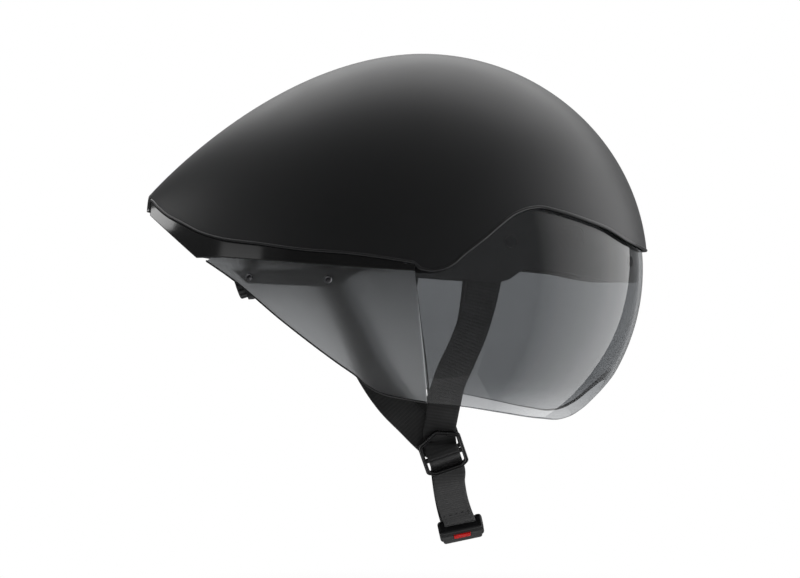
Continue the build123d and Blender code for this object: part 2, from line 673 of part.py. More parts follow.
def divider(side):
    half, apex, shoulder = DIVIDER_HALF_WIDTH, DIVIDER_APEX, DIVIDER_SHOULDER
    hip, foot, foot_half = DIVIDER_HIP, DIVIDER_FOOT, DIVIDER_FOOT_HALF
    outline = [
        (0, apex), (half, shoulder), (half, -hip), (foot_half, -foot), (-foot_half, -foot),
        (-half, -hip), (-half, shoulder),
    ]
    outline = [(across, side * upward) for across, upward in outline]
    plate = make_face(Polyline(*outline, close=True))
    window = offset(plate, -DIVIDER_RIM)
    ring = extrude(plate - window, DIVIDER_THICKNESS / 2, both=True)
    groove = offset(plate, -DIVIDER_RIM / 3) - offset(plate, -2 * DIVIDER_RIM / 3)
    ring -= extrude(Pos(0, 0, DIVIDER_THICKNESS / 2 - DIVIDER_LIP) * groove, DIVIDER_THICKNESS)
    bar = Pos(0, -side * DIVIDER_BAR_DROP, 0) * Box(
        2 * half - DIVIDER_RIM, DIVIDER_BAR_HEIGHT, DIVIDER_BAR_THICKNESS
    )
    return divider_plane(side) * (ring + bar)


# Buckle

def buckle_plane():
    roll, tilt = radians(BUCKLE_ROLL), radians(BUCKLE_TILT)
    across = Vector(cos(roll), 0, sin(roll))
    outward = Vector(0, -sin(tilt), -cos(tilt))
    outward = (outward - across * outward.dot(across)).normalized()
    return Plane(origin=BUCKLE_CENTRE, x_dir=across, z_dir=outward)


def buckle_place(across, along, outward):
    plane = buckle_plane()
    return plane.origin + plane.x_dir * across + plane.y_dir * along + plane.z_dir * outward


def rounded_block(width, length, height, radius):
    block = Box(width, length, height)
    return fillet(block.edges().filter_by(Axis.Z), radius)


def buckle_socket():
    body = Box(SOCKET_WIDTH, SOCKET_LENGTH, SOCKET_THICKNESS)
    body = fillet(body.edges().filter_by(Axis.Y), SOCKET_ROUND)
    mouth = Pos(0, (MOUTH_DEPTH - SOCKET_LENGTH) / 2, 0) * Box(MOUTH_WIDTH, MOUTH_DEPTH, MOUTH_HEIGHT)
    wall = (SOCKET_THICKNESS - MOUTH_HEIGHT) / 2
    window = Pos(0, BUTTON_PLACE - BUTTON_LENGTH / 2, SOCKET_THICKNESS / 2 - wall / 2)
    window *= rounded_block(BUTTON_WIDTH + 2 * GAP, BUTTON_LENGTH + 2 * GAP, 2 * wall, SOCKET_ROUND)
    return buckle_plane() * (body - mouth - window)


def release_button():
    cap = rounded_block(BUTTON_WIDTH, BUTTON_LENGTH, BUTTON_THICKNESS, SOCKET_ROUND - GAP)
    height = SOCKET_THICKNESS / 2 + BUTTON_PROUD - BUTTON_THICKNESS / 2
    return buckle_plane() * Pos(0, BUTTON_PLACE - BUTTON_LENGTH / 2, height) * cap


def buckle_tongue():
    face = -SOCKET_LENGTH / 2 - GAP
    head = Pos(0, face - TONGUE_HEAD_LENGTH / 2, 0) * rounded_block(
        TONGUE_HEAD_WIDTH, TONGUE_HEAD_LENGTH, TONGUE_HEAD_THICKNESS, SOCKET_ROUND
    )
    width, height = MOUTH_WIDTH - 2 * GAP, MOUTH_HEIGHT - 2 * GAP
    blade = Pos(0, face + TONGUE_REACH / 2, 0) * Box(width, TONGUE_REACH, height)
    window = Pos(0, face + TONGUE_REACH / 2, 0) * Box(TONGUE_WINDOW, TONGUE_WINDOW, SOCKET_THICKNESS)
    return buckle_plane() * (head + blade - window)


# Fit system

def head_y(x, shrink):
    """Half width of the head room's upright wall at x."""
    share = (x - HEAD_CENTRE_X) / (HEAD_LENGTH_HALF - shrink)
    return (HEAD_WIDTH_HALF - shrink) * sqrt(1 - share**2)


def pin_body(side, room=0.0):
    inner = head_y(TEMPLE_PIN_X, 0) - BAND_CLEARANCE - BAND_TRAVEL - 2 * BAND_WALL
    outer = head_y(TEMPLE_PIN_X, 0) + PIN_GRIP
    length = outer - inner + room
    middle = (outer + inner + room) / 2
    place = Pos(TEMPLE_PIN_X, -side * middle, TEMPLE_PIN_Z) * Rotation(90, 0, 0)
    return place * Cylinder(PIN_RADIUS + room, length)


def temple_pins():
    pins = []
    for side in SIDES.values():
        inner = head_y(TEMPLE_PIN_X, 0) - BAND_CLEARANCE - BAND_TRAVEL - 2 * BAND_WALL
        place = Pos(TEMPLE_PIN_X, -side * (inner - PIN_HEAD_THICKNESS / 2), TEMPLE_PIN_Z) * Rotation(90, 0, 0)
        pins.append(pin_body(side) + place * Cylinder(PIN_HEAD_RADIUS, PIN_HEAD_THICKNESS))
    return Compound(pins)


def dial_plane():
    """Centre of the dial's rear face, its normal to the rear and its y direction to the left."""
    tilt = radians(DIAL_TILT)
    return Plane(origin=DIAL_FACE_CENTRE, x_dir=(-sin(tilt), 0, cos(tilt)), z_dir=(-cos(tilt), 0, -sin(tilt)))


def fit_dial():
    knob = Cylinder(DIAL_RADIUS, DIAL_THICKNESS)
    for index in range(DIAL_GRIPS):
        angle = 2 * pi * index / DIAL_GRIPS
        place = Pos(DIAL_RADIUS * cos(angle), DIAL_RADIUS * sin(angle), 0)
        knob -= place * Cylinder(DIAL_GRIP_RADIUS, DIAL_THICKNESS)
    return dial_plane() * Pos(0, 0, -DIAL_THICKNESS / 2) * knob


def housing_front():
    return -DIAL_THICKNESS - HOUSING_GAP


def rack_depth():
    return housing_front() - HOUSING_DEPTH / 2


def dial_pinion():
    """Shaft on the dial's front face with a toothed pinion between the two racks."""
    root = PITCH_RADIUS - TOOTH_HEIGHT / 2
    wheel = Cylinder(root, RACK_DEPTH)
    thickness = TOOTH_THICKNESS_SHARE * TOOTH_PITCH
    for index in range(PINION_TEETH):
        turn = Rotation(0, 0, 360 * index / PINION_TEETH)
        tooth = Pos(root + TOOTH_HEIGHT / 2 - GAP / 2, 0, 0) * Box(TOOTH_HEIGHT, thickness, RACK_DEPTH)
        wheel += turn * tooth
    shaft_length = HOUSING_DEPTH / 2 + HOUSING_GAP
    shaft = Pos(0, 0, -DIAL_THICKNESS - shaft_length / 2) * Cylinder(SHAFT_RADIUS, shaft_length)
    return dial_plane() * (Pos(0, 0, rack_depth()) * wheel + shaft)


def link_face():
    """How far from the middle plane a band's link starts, clear of the housing when drawn in."""
    return HOUSING_WIDTH / 2 + BAND_TRAVEL + 2 * GAP


def fit_rack(side):
    """Toothed bar above the pinion for the right band, and below it for the left one."""
    near = PITCH_RADIUS + TOOTH_HEIGHT / 2
    back = Pos(side * (near + RACK_THICKNESS / 2), 0, 0)
    outer = link_face()
    middle = -side * (outer - RACK_PAST) / 2
    bar = back * Pos(0, middle, 0) * Box(RACK_THICKNESS, outer + RACK_PAST, RACK_DEPTH)
    thickness = TOOTH_THICKNESS_SHARE * TOOTH_PITCH
    count = int((RACK_PAST + BAND_TRAVEL) / TOOTH_PITCH)
    for index in range(-count, count):
        place = (index + 0.5) * TOOTH_PITCH
        if -side * place > -RACK_PAST + thickness:
            tooth = Pos(side * (near - TOOTH_HEIGHT / 2 + GAP / 2), place, 0)
            bar += tooth * Box(TOOTH_HEIGHT, thickness, RACK_DEPTH)
    return dial_plane() * Pos(0, 0, rack_depth()) * bar


def band_ring(side):
    """Elliptical band round the head, cut by a side outline that falls towards the nape."""
    outer = Ellipse(HEAD_LENGTH_HALF - BAND_CLEARANCE, HEAD_WIDTH_HALF - BAND_CLEARANCE)
    inner = Ellipse(
        HEAD_LENGTH_HALF - BAND_CLEARANCE - BAND_WALL, HEAD_WIDTH_HALF - BAND_CLEARANCE - BAND_WALL
    )
    ring = Pos(HEAD_CENTRE_X, 0, 0) * extrude(outer - inner, CROWN_HEIGHT / 2, both=True)
    half = BAND_HEIGHT / 2
    front, rear = TEMPLE_PIN_X + 2 * PIN_HEAD_RADIUS, BAND_REAR_X
    outline = closed_prism([
        (rear, BAND_REAR_Z - half), (HEAD_CENTRE_X, TEMPLE_PIN_Z - half), (front, TEMPLE_PIN_Z - half),
        (front, TEMPLE_PIN_Z + half), (HEAD_CENTRE_X, TEMPLE_PIN_Z + half), (rear, BAND_REAR_Z + half),
    ])
    return ring & outline & one_side(side)


def band_link(side):
    """Flat arm from the band's rear end to its rack, which meets its inner face."""
    ring_y = head_y(BAND_REAR_X, BAND_CLEARANCE)
    inner_y = head_y(BAND_REAR_X, BAND_CLEARANCE + BAND_WALL)
    plane = dial_plane()
    near = PITCH_RADIUS + TOOTH_HEIGHT / 2 + RACK_THICKNESS / 2
    seat = plane.origin + plane.z_dir * rack_depth() + plane.x_dir * side * near
    y = link_face()
    half = RACK_DEPTH / 2 + BAND_WALL / 2
    points = [
        (BAND_REAR_X, ring_y), (BAND_REAR_X + BAND_WALL, inner_y - 2 * BAND_WALL),
        (seat.X + half, y), (seat.X - half, y), (seat.X - half, y + 2 * BAND_WALL),
    ]
    face = make_face(Polyline(*[(x, -side * value) for x, value in points], close=True))
    low = min(seat.Z - RACK_THICKNESS / 2, BAND_REAR_Z - BAND_WALL)
    high = max(seat.Z + RACK_THICKNESS / 2, BAND_REAR_Z + BAND_WALL)
    return extrude(Pos(0, 0, low) * face, high - low)


def fit_band(side):
    band = band_ring(side) + band_link(side)
    hole = Pos(TEMPLE_PIN_X, 0, TEMPLE_PIN_Z) * Rotation(90, 0, 0) * Cylinder(
        PIN_RADIUS + PIN_FIT, 2 * HALF_WIDTH
    )
    return band - hole


def dial_housing():
    middle = (HOUSING_TOP - HOUSING_BOTTOM) / 2
    height = HOUSING_TOP + HOUSING_BOTTOM
    body = Pos(middle, 0, 0) * Box(height, HOUSING_WIDTH, HOUSING_DEPTH)
    body = fillet(body.edges().filter_by(Axis.Z), HOUSING_ROUND)
    slot_half = PITCH_RADIUS + TOOTH_HEIGHT / 2 + RACK_THICKNESS + GAP
    body -= Box(2 * slot_half, 2 * HOUSING_WIDTH, RACK_DEPTH + 2 * GAP)
    body -= Pos(0, 0, HOUSING_DEPTH / 2) * Cylinder(SHAFT_RADIUS + SHAFT_FIT, HOUSING_DEPTH)
    return dial_plane() * Pos(0, 0, rack_depth()) * body


def crown_roll(across, along, rise):
    """Roll whose side bulges by a rise over a width, at the nape pad's thickness."""
    radius = ((across / 2) ** 2 + rise**2) / (2 * rise)
    return Pos(0, 0, radius - NAPE_PAD_THICKNESS) * Rotation(90, 0, 0) * Cylinder(radius, 2 * along)


def nape_pad():
    """Cushion on the housing's front face, crowned towards the nape."""
    middle = (HOUSING_TOP - HOUSING_BOTTOM) / 2
    height = HOUSING_TOP + HOUSING_BOTTOM - 2 * GAP
    width = HOUSING_WIDTH - 2 * GAP
    rise = (NAPE_PAD_THICKNESS - PAD_EDGE) / 2
    block = Pos(0, 0, -NAPE_PAD_THICKNESS / 2) * rounded_block(height, width, NAPE_PAD_THICKNESS, HOUSING_ROUND)
    pad = block & crown_roll(height, width, rise) & (Rotation(0, 0, 90) * crown_roll(width, height, rise))
    for share in PAD_CHANNEL_SHARES:
        channel = Pos(0, share * width / 2, -NAPE_PAD_THICKNESS) * Rotation(0, 90, 0)
        pad -= channel * Cylinder(PAD_CHANNEL_RADIUS, 2 * height)
    depth = housing_front() - HOUSING_DEPTH - GAP
    return dial_plane() * Pos(middle, 0, depth) * pad


def pieces():
    whole = {
        "outer_shell": outer_shell(), "tail_cap": tail_cap(),
        "visor_seat": visor_seat(), "liner": liner(), "seat_magnets": seat_magnets(),
        "visor_lens": visor_lens(), "visor_magnets": visor_magnets(), "fairing_screws": fairing_screws(),
        "brow_pad": brow_pad(), "crown_pad": crown_pad(), "strap_anchors": strap_anchors(),
        "temple_pins": temple_pins(), "buckle_socket": buckle_socket(), "buckle_tongue": buckle_tongue(),
        "release_button": release_button(), "chin_strap_right": chin_strap_right(),
        "chin_strap_left": chin_strap_left(), "dial_housing": dial_housing(), "nape_pad": nape_pad(),
        "fit_dial": fit_dial(), "dial_pinion": dial_pinion(),
    }
    for name, side in SIDES.items():
        whole[f"lower_trim_{name}"] = lower_trim(side)
        whole[f"fairing_{name}"] = fairing(side)
        whole[f"fairing_bracket_{name}"] = fairing_bracket(side)
        whole[f"side_pad_{name}"] = side_pad(side)
        whole[f"strap_front_{name}"] = strap_front(side)
        whole[f"strap_rear_{name}"] = strap_rear(side)
        whole[f"divider_{name}"] = divider(side)
        whole[f"fit_band_{name}"] = fit_band(side)
        whole[f"fit_rack_{name}"] = fit_rack(side)
    return whole


os.makedirs("parts", exist_ok=True)
for name, piece in pieces().items():
    export_step(piece, f"parts/{name}.step")
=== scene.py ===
from math import cos, pi, radians, sin, sqrt

import bmesh
import bpy
import numpy as np
from mathutils import Matrix, Vector


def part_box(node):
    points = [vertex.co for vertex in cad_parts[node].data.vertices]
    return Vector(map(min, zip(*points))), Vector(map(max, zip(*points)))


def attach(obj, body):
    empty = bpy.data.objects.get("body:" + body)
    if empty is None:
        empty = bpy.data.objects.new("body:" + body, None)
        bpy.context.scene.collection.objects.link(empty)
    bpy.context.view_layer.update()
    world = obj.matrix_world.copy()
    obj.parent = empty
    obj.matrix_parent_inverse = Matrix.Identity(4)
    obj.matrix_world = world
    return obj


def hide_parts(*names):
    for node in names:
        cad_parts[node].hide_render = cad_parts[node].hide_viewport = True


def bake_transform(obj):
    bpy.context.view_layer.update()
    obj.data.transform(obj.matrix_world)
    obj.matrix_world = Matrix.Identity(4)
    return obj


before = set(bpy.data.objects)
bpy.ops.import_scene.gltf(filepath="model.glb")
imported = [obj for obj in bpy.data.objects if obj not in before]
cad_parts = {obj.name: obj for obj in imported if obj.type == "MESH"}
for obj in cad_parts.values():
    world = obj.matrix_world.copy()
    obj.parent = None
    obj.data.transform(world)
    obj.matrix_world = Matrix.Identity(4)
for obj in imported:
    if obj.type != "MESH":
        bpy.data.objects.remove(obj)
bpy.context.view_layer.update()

# Aero time trial helmet. Metres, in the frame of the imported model.

# Outer form, as the model's own source has it
FRONT_LENGTH, TAIL_LENGTH = 0.146, 0.1773
CROWN_HEIGHT, HALF_WIDTH, SKIRT_DEPTH = 0.140, 0.098, 0.140
TAIL_HEIGHT_DROP_SHARE, TAIL_HEIGHT_POWER = 0.645, 1.9
TAIL_TIP_DROP_SHARE, TAIL_TIP_POWER = 0.011, 12
TAIL_WIDTH_DROP_SHARE, TAIL_WIDTH_POWER = 0.806, 2.4
SHELL_WALL, LENS_INSET, LENS_WALL, SEAT_WALL, BRACKET_WALL = 0.0025, 0.0030, 0.0022, 0.0020, 0.0022
GAP, SEAM_GAP = 0.0003, 0.0005
LIP_RADIUS, LIP_DEPTH_SHARE, TRIM_LIP_RADIUS = 0.0009, 0.16, 0.0005
SHELL_ROUNDING, TRIM_ROUNDING, SHEET_ROUNDING, CASE_ROUNDING = 0.0009, 0.0005, 0.0004, 0.0007
BUCKLE_ROUNDING, SCREW_ROUNDING = 0.00012, 0.00008
EDGE_BAND, EDGE_OVERLAP = 0.0009, 0.0001
TAIL_CAP_DEPTH = 0.0024
TUCK, SEAT_RISE = 0.0046, 0.008

# Side outlines, as shares of the front length or tail length, and of the crown height
REAR_RIM_SHARES = (
    (-0.980, 0.313), (-0.914, 0.242), (-0.850, 0.200), (-0.789, 0.161), (-0.729, 0.136),
    (-0.557, 0.102), (-0.417, 0.077), (-0.248, 0.059), (-0.030, 0.018),
)
FRONT_RIM_SHARES = (
    (0.029, -0.016), (0.094, -0.001), (0.171, 0.061), (0.258, 0.131), (0.317, 0.184), (0.376, 0.230),
    (0.425, 0.251), (0.479, 0.260), (0.553, 0.246), (0.664, 0.214), (0.781, 0.173), (0.884, 0.119),
    (0.984, 0.083),
)
RIM_STEP_SHARES = (-0.014, -0.007)
TRIM_EDGE_SHARES = (
    (-0.795, 0.051), (-0.694, 0.051), (-0.510, 0.033), (-0.248, 0.007), (-0.031, -0.010),
)
TAIL_FACE_SHARE = 0.264
SEAT_EDGE_SHARES = (
    (-0.026, -0.032), (0.174, -0.048), (0.315, -0.057), (0.350, -0.048), (0.415, 0.001), (0.504, -0.006),
    (0.614, -0.018), (0.697, -0.039), (0.788, -0.057), (1.05, -0.061),
)
SEAM_SHARES = ((-0.033, -0.026), (0.016, -0.583))
NOSE_OVERRUN_SHARE = 1.05
VISOR_EDGE_SHARES = (
    (0.160, -0.600), (0.330, -0.632), (0.499, -0.664), (0.592, -0.673), (0.642, -0.660), (0.689, -0.633),
    (0.767, -0.564), (0.865, -0.462), (1.05, -0.270),
)
FAIRING_EDGE_SHARES = (
    (-0.759, 0.034), (-0.654, -0.053), (-0.487, -0.224), (-0.288, -0.414), (-0.231, -0.465),
    (-0.190, -0.511), (-0.141, -0.544), (-0.073, -0.564),
)
BRACKET_TOP, ARM_HALF, ARM_LAP, ARM_STEP = -0.0014, 0.005, 0.003, 0.006
ARM_STEP_SHARES = (-0.2, 1.4)
BRACKET_SHARES = ((-0.660, 0.0), (-0.607, -0.064), (-0.289, -0.083), (-0.241, -0.031), (-0.191, 0.0))
VENT_CORNER_SHARES = ((0.56, 0.085), (0.67, 0.085), (0.67, 0.185), (0.56, 0.185))
VENT_ROUND = 0.005
SCREW_PLACE_SHARES = ((-0.597, -0.036), (-0.323, -0.047))

# How many places, rows and columns the curves and sheets have
CURVE_STEPS, RUN_STEPS, LIP_STEPS, TRIM_LIP_STEPS = 24, 20, 700, 200
SHELL_STATIONS, SHELL_COLUMNS, TRIM_STATIONS, TRIM_ROWS = 220, 140, 160, 14
VISOR_COLUMNS, VISOR_ROWS, SEAT_COLUMNS, SEAT_ROWS = 240, 90, 200, 30
FAIRING_COLUMNS, FAIRING_ROWS, BRACKET_ROWS, ARM_COLUMNS, ARM_ROWS = 120, 60, 8, 9, 16
MERGE = 1e-6

# Webbing, dividers, buckle and dial in millimetres, as the model's own source has them
MM = 0.001
WEBBING_WIDTH, WEBBING_THICKNESS, WEBBING_CROWN_SHARE = 20.0, 1.2, 0.08
FRONT_ROUTE = (
    (37.2, -80.7, -4.5), (33.4, -79.5, -22.0), (28.6, -77.0, -38.0), (21.2, -73.0, -56.0),
    (15.4, -69.3, -70.0), (12.5, -65.8, -84.0), (10.8, -62.4, -94.0),
)
REAR_ROUTE = (
    (-78.0, -69.2, 7.0), (-58.5, -69.0, -12.5), (-42.4, -67.5, -41.0), (-32.6, -66.5, -61.5),
    (-18.5, -64.2, -82.0), (-8.0, -61.8, -93.0),
)
FRONT_SWAY = (2.0, 4.0, 6.0, 6.0, 5.0, 3.0, 1.0)
REAR_SWAY = (0.0, -2.0, -3.0, -3.0, -2.0, -1.0)
CHIN_ROUTE = ((16.2, -51.0, -131.5), (17.3, -43.5, -139.5), (19.0, -35.5, -147.0), (21.5, -27.0, -154.8))
TONGUE_ROUTE = (
    (16.4, 51.5, -132.0), (17.5, 46.5, -143.0), (19.5, 39.0, -155.0), (22.3, 30.0, -165.5),
    (25.2, 20.5, -172.8),
)
REAR_FACE_TURN = 52
CHIN_RUN_IN, TONGUE_RUN_IN = 4.7, 4.0

# Where the webbing goes through a divider
FRONT_FOLD = ((2.4, 14.3, -2.4), (0.6, 7.0, -2.4), (0, 4.5, 0), (0, -0.1, 1.7), (0, -1.45, 1.7))
REAR_FOLD = ((-4.8, 9.4, -3.9), (0, 1.2, -3.9))
CHIN_FOLD = ((0, -1.75, 1.7), (0, -3.1, 1.7), (0, -5.6, 0), (0, -8.6, -2.4), (0, -13.8, -2.4))

DIVIDER_CENTRE, DIVIDER_TURN, DIVIDER_LEAN = (12.2, -60.0, -113.5), 18.8, 16.0
DIVIDER_CORNERS = (
    (0, 15.5), (13.7, 9.4), (13.7, -9.8), (8.5, -12.6), (-8.5, -12.6), (-13.7, -9.8), (-13.7, 9.4),
)
DIVIDER_RIM, DIVIDER_ROUND = 2.4, 2.6
DIVIDER_BAR, DIVIDER_BAR_ROUND, DIVIDER_BAR_DROP = (25.0, 3.0, 1.6), 0.6, 1.6
RIM_HALF = (
    (0.16, -1.5), (0.08, -1.4), (0.0, -1.0), (0.0, 0.95), (0.05, 1.3), (0.14, 1.5), (0.27, 1.5),
    (0.36, 1.35), (0.41, 0.95),
)
RIM_PROFILE = RIM_HALF + tuple((1 - share, height) for share, height in reversed(RIM_HALF))
BUCKLE_CENTRE, BUCKLE_ROLL, BUCKLE_TILT = (25.0, -8.0, -166.6), 12.0, 25.0
SOCKET_LENGTH, TONGUE_HEAD_LENGTH, BUCKLE_GAP = 19.0, 8.0, 0.3
TONGUE_FACE = -SOCKET_LENGTH / 2 - BUCKLE_GAP
BUTTON_SIZE, BUTTON_ROUND, BUTTON_CENTRE = (11, 7, 1.3), 0.45, (0, -1.5, 4.35)

# Blocks of the buckle: size, rounding and centre in its own frame
SOCKET_BLOCKS = {
    "buckle_housing": ((29, SOCKET_LENGTH, 9), 2.1),
    "mouth": ((22, 13.4, 4.6), 0.5, (0, -3.2, 0)),
    "window": ((11.6, 7.6, 6), 1.6, (0, -1.5, 4)),
    "grip_hollow": ((22, 3.2, 3), 0.9, (0, 7.6, -4.9)),
    **{f"grip_{k}": ((30, 0.9, 2.4), 0.3, (0, 2.2 + 2.0 * k, 4.9)) for k in range(3)},
}
TONGUE_BLOCKS = {
    "buckle_blade": ((26, TONGUE_HEAD_LENGTH, 7), 1.7, (0, TONGUE_FACE - TONGUE_HEAD_LENGTH / 2, 0)),
    "blade": ((21.4, 13, 4.0), 0.5, (0, TONGUE_FACE + 5.5, 0)),
    "blade_window": ((8, 8, 12), 0.8, (0, TONGUE_FACE + 6, 0)),
    "strap_slot": ((20.6, 2.2, 1.8), 0.3, (0, TONGUE_FACE - TONGUE_HEAD_LENGTH, 0)),
}

DIAL_CENTRE, DIAL_TILT = (-120.9, 0.0, -8.0), 17.0
DIAL_GRIPS, DIAL_GRIP_DEPTH, DIAL_GRIP_START, DIAL_GRIP_BLEND = 18, 0.9, 8.9, 2.3
DIAL_PROFILE = (
    (0.0, -0.3), (2.6, -0.3), (3.1, -0.45), (3.3, -1.0), (4.2, -1.15), (7.6, -1.15), (8.4, -0.8),
    (8.9, -0.15), (9.6, 0.0), (10.6, 0.0), (11.2, -0.25), (11.5, -0.9), (11.5, -4.7), (11.2, -5.35),
    (10.6, -5.6), (0.0, -5.6),
)
SCREW_PROFILE = (
    (0.0, 0.5), (1.15, 0.5), (1.25, 0.95), (1.6, 1.15), (2.05, 1.05), (2.3, 0.75), (2.3, 0.3), (0.0, 0.3),
)
SCREW_SEGMENTS, SCREW_SOCKET_RADIUS, SCREW_SOCKET_REACH, SCREW_SOCKET_HEIGHT = 36, 1.25, 2.0, 2.45
STITCH_LENGTH, STITCH_THICKNESS, STITCH_PITCH, STITCH_MARGIN = 2.0, 0.45, 2.6, 2.2
STITCH_SHAPE = (STITCH_THICKNESS, STITCH_THICKNESS, STITCH_LENGTH, 1)

# The chin strap's seam, in metres, and the webbing's weave, whose wave texture has 10 / pi waves a unit
SEAM_START, SEAM_LENGTH = 0.0135, 0.0105
RIBS_PER_METRE, YARNS_PER_METRE, WAVE_SCALE = 480, 1300, pi / 10

# Pads
PAD_VOXEL, PAD_RISE, PAD_START_INSET = 0.0015, 0.0012, 0.0005
PAD_SOFTNESS, PAD_SMOOTHINGS, PAD_PRESSURE, PAD_STEPS = 0.5, 6, 4, 20
PAD_CHANNEL_SHARES, PAD_CHANNEL_DEPTH, PAD_CHANNEL_WIDTH = (-0.44, 0.0, 0.44), 0.0013, 0.0013

# Camera, from the photograph's frame of 800 by 578 pixels
IMAGE_WIDTH = 800
CAMERA_PLACE = (-0.0143, -1.150, -0.01235)
FOCAL_PIXELS = 1769
SENSOR_WIDTH = 36.0

RIGHT, LEFT = 1, -1
SIDES = {"right": RIGHT, "left": LEFT}


# Outer form and outlines

def tail_size(share):
    drop = TAIL_HEIGHT_DROP_SHARE * share**TAIL_HEIGHT_POWER + TAIL_TIP_DROP_SHARE * share**TAIL_TIP_POWER
    return HALF_WIDTH * (1 - TAIL_WIDTH_DROP_SHARE * share**TAIL_WIDTH_POWER), CROWN_HEIGHT * (1 - drop)


def section_size(x, z, inset):
    """Half width and height of the section at x, for a place above or below the middle."""
    ahead = np.sqrt(np.clip(1 - (x / (FRONT_LENGTH - inset)) ** 2, 0, 1))
    half_width, height = tail_size(np.clip(-x / TAIL_LENGTH, 0, 1))
    height = np.where(z < 0, SKIRT_DEPTH, height)
    front = x > 0
    wide = np.where(front, ahead * (HALF_WIDTH - inset), half_width - inset)
    high = np.where(front, ahead * (CROWN_HEIGHT - inset), height - inset)
    return wide, high


def form_point(x, z, inset, side):
    """Places on the form's side, from side-view places; side is 1 on the right and -1 on the left."""
    wide, high = section_size(x, z, inset)
    y = wide * np.sqrt(np.clip(1 - (z / np.maximum(high, GAP)) ** 2, 0, 1))
    return np.stack([x, -side * y, z], -1)


def side_line(shares, raised=0.0):
    return np.array([
        (x * (FRONT_LENGTH if x > 0 else TAIL_LENGTH), z * CROWN_HEIGHT + raised) for x, z in shares
    ])


def smooth_line(points, steps=10):
    """Smooth curve through the points, with a few steps between each two."""
    points = np.asarray(points, float)
    spans = np.linalg.norm(np.diff(points, axis=0), axis=1)
    slopes = np.diff(points, axis=0) / spans[:, None]
    before, after = spans[:-1, None], spans[1:, None]
    inner = (slopes[:-1] * after + slopes[1:] * before) / (before + after)
    tangents = np.vstack([2 * slopes[0] - inner[0], inner, 2 * slopes[-1] - inner[-1]])
    curve = []
    for index, span in enumerate(spans):
        t = np.arange(steps)[:, None] / steps
        first, second = points[index], points[index + 1]
        curve.append(
            (1 + 2 * t) * (1 - t) ** 2 * first + t * (1 - t) ** 2 * span * tangents[index]
            + t**2 * (3 - 2 * t) * second - t**2 * (1 - t) * span * tangents[index + 1]
        )
    return np.vstack(curve + [points[-1:]])


def unit(vectors):
    """Each of the vectors at length one."""
    return vectors / np.linalg.norm(vectors, axis=1)[:, None]


def distance_along(line):
    """Distance from the line's start at each of its points."""
    return np.concatenate([[0], np.cumsum(np.linalg.norm(np.diff(line, axis=0), axis=1))])


def resample(line, count):
    """The line at evenly spaced places along it."""
    along = distance_along(line)
    places = np.linspace(0, along[-1], count)
    return np.stack([np.interp(places, along, column) for column in line.T], -1)


def resampled_runs(line):
    """The line with more places on each of its straight runs."""
    return np.vstack([resample(line[k:k + 2], RUN_STEPS) for k in range(len(line) - 1)])


def rim_height(x):
    """Height of the shell's rim at x."""
    rear, front = smooth_line(side_line(REAR_RIM_SHARES)), smooth_line(side_line(FRONT_RIM_SHARES))
    line = np.vstack([rear, side_line([RIM_STEP_SHARES]), front])
    return np.interp(x, line[:, 0], line[:, 1])


def corner_ways(corners):
    """Each corner with the ways to its neighbours, the way inward and half of its angle."""
    for index, corner in enumerate(corners):
        corner = np.array(corner, float)
        before, after = (np.array(corners[k % len(corners)], float) - corner for k in (index - 1, index + 1))
        before, after = before / np.linalg.norm(before), after / np.linalg.norm(after)
        inward = (before + after) / np.linalg.norm(before + after)
        yield corner, before, after, inward, np.arccos(before @ after) / 2


def rounded_outline(corners, radius, steps=6):
    """Places along a convex outline with rounded corners."""
    places = []
    for corner, before, after, inward, half in corner_ways(corners):
        middle = corner + inward * radius / sin(half)
        start, end = (corner + way * radius / np.tan(half) - middle for way in (before, after))
        turn = pi - 2 * half
        for share in np.linspace(0, 1, steps):
            places.append(middle + (start * sin((1 - share) * turn) + end * sin(share * turn)) / sin(turn))
    return np.array(places)


def inset_corners(corners, distance):
    """Corners of a convex outline moved in from its sides."""
    return [corner + inward * distance / sin(half) for corner, _, _, inward, half in corner_ways(corners)]


# Meshes

def in_scene(name, data):
    """New object at the origin, in the scene."""
    piece = bpy.data.objects.new(name, data)
    bpy.context.scene.collection.objects.link(piece)
    return piece


def reworked(mesh, steps):
    """Runs the steps on the mesh's points, edges and faces, and turns its faces outwards."""
    work = bmesh.new()
    work.from_mesh(mesh)
    bmesh.ops.remove_doubles(work, verts=work.verts, dist=MERGE)
    steps(work)
    bmesh.ops.recalc_face_normals(work, faces=work.faces)
    work.to_mesh(mesh)
    work.free()
    return mesh


def mesh_object(name, vertices, faces):
    """Object at the origin with a closed mesh whose faces point outwards."""
    mesh = bpy.data.meshes.new(name)
    mesh.from_pydata([tuple(v) for v in vertices], [], [tuple(f) for f in faces])
    reworked(mesh, lambda work: bmesh.ops.dissolve_degenerate(work, dist=MERGE, edges=work.edges))
    mesh.shade_smooth()
    return in_scene(name, mesh)


def from_model(name, node):
    """Copy of a node's mesh with its points merged and its flat faces whole."""
    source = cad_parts[node]
    mesh = source.data.copy()
    mesh.name = name
    mesh.transform(source.matrix_world)
    reworked(mesh, lambda work: bmesh.ops.dissolve_limit(
        work, angle_limit=radians(1), verts=work.verts, edges=work.edges))
    return in_scene(name, mesh)


def grid_faces(rows, columns, start=0, round_rows=False, round_columns=False):
    """Four-sided faces over a grid; a round one goes on from its last row or column to the first."""
    faces = []
    for row in range(rows - (not round_rows)):
        here, after = (start + k % rows * columns for k in (row, row + 1))
        for column in range(columns - (not round_columns)):
            beside = (column + 1) % columns
            faces.append([here + column, here + beside, after + beside, after + column])
    return faces


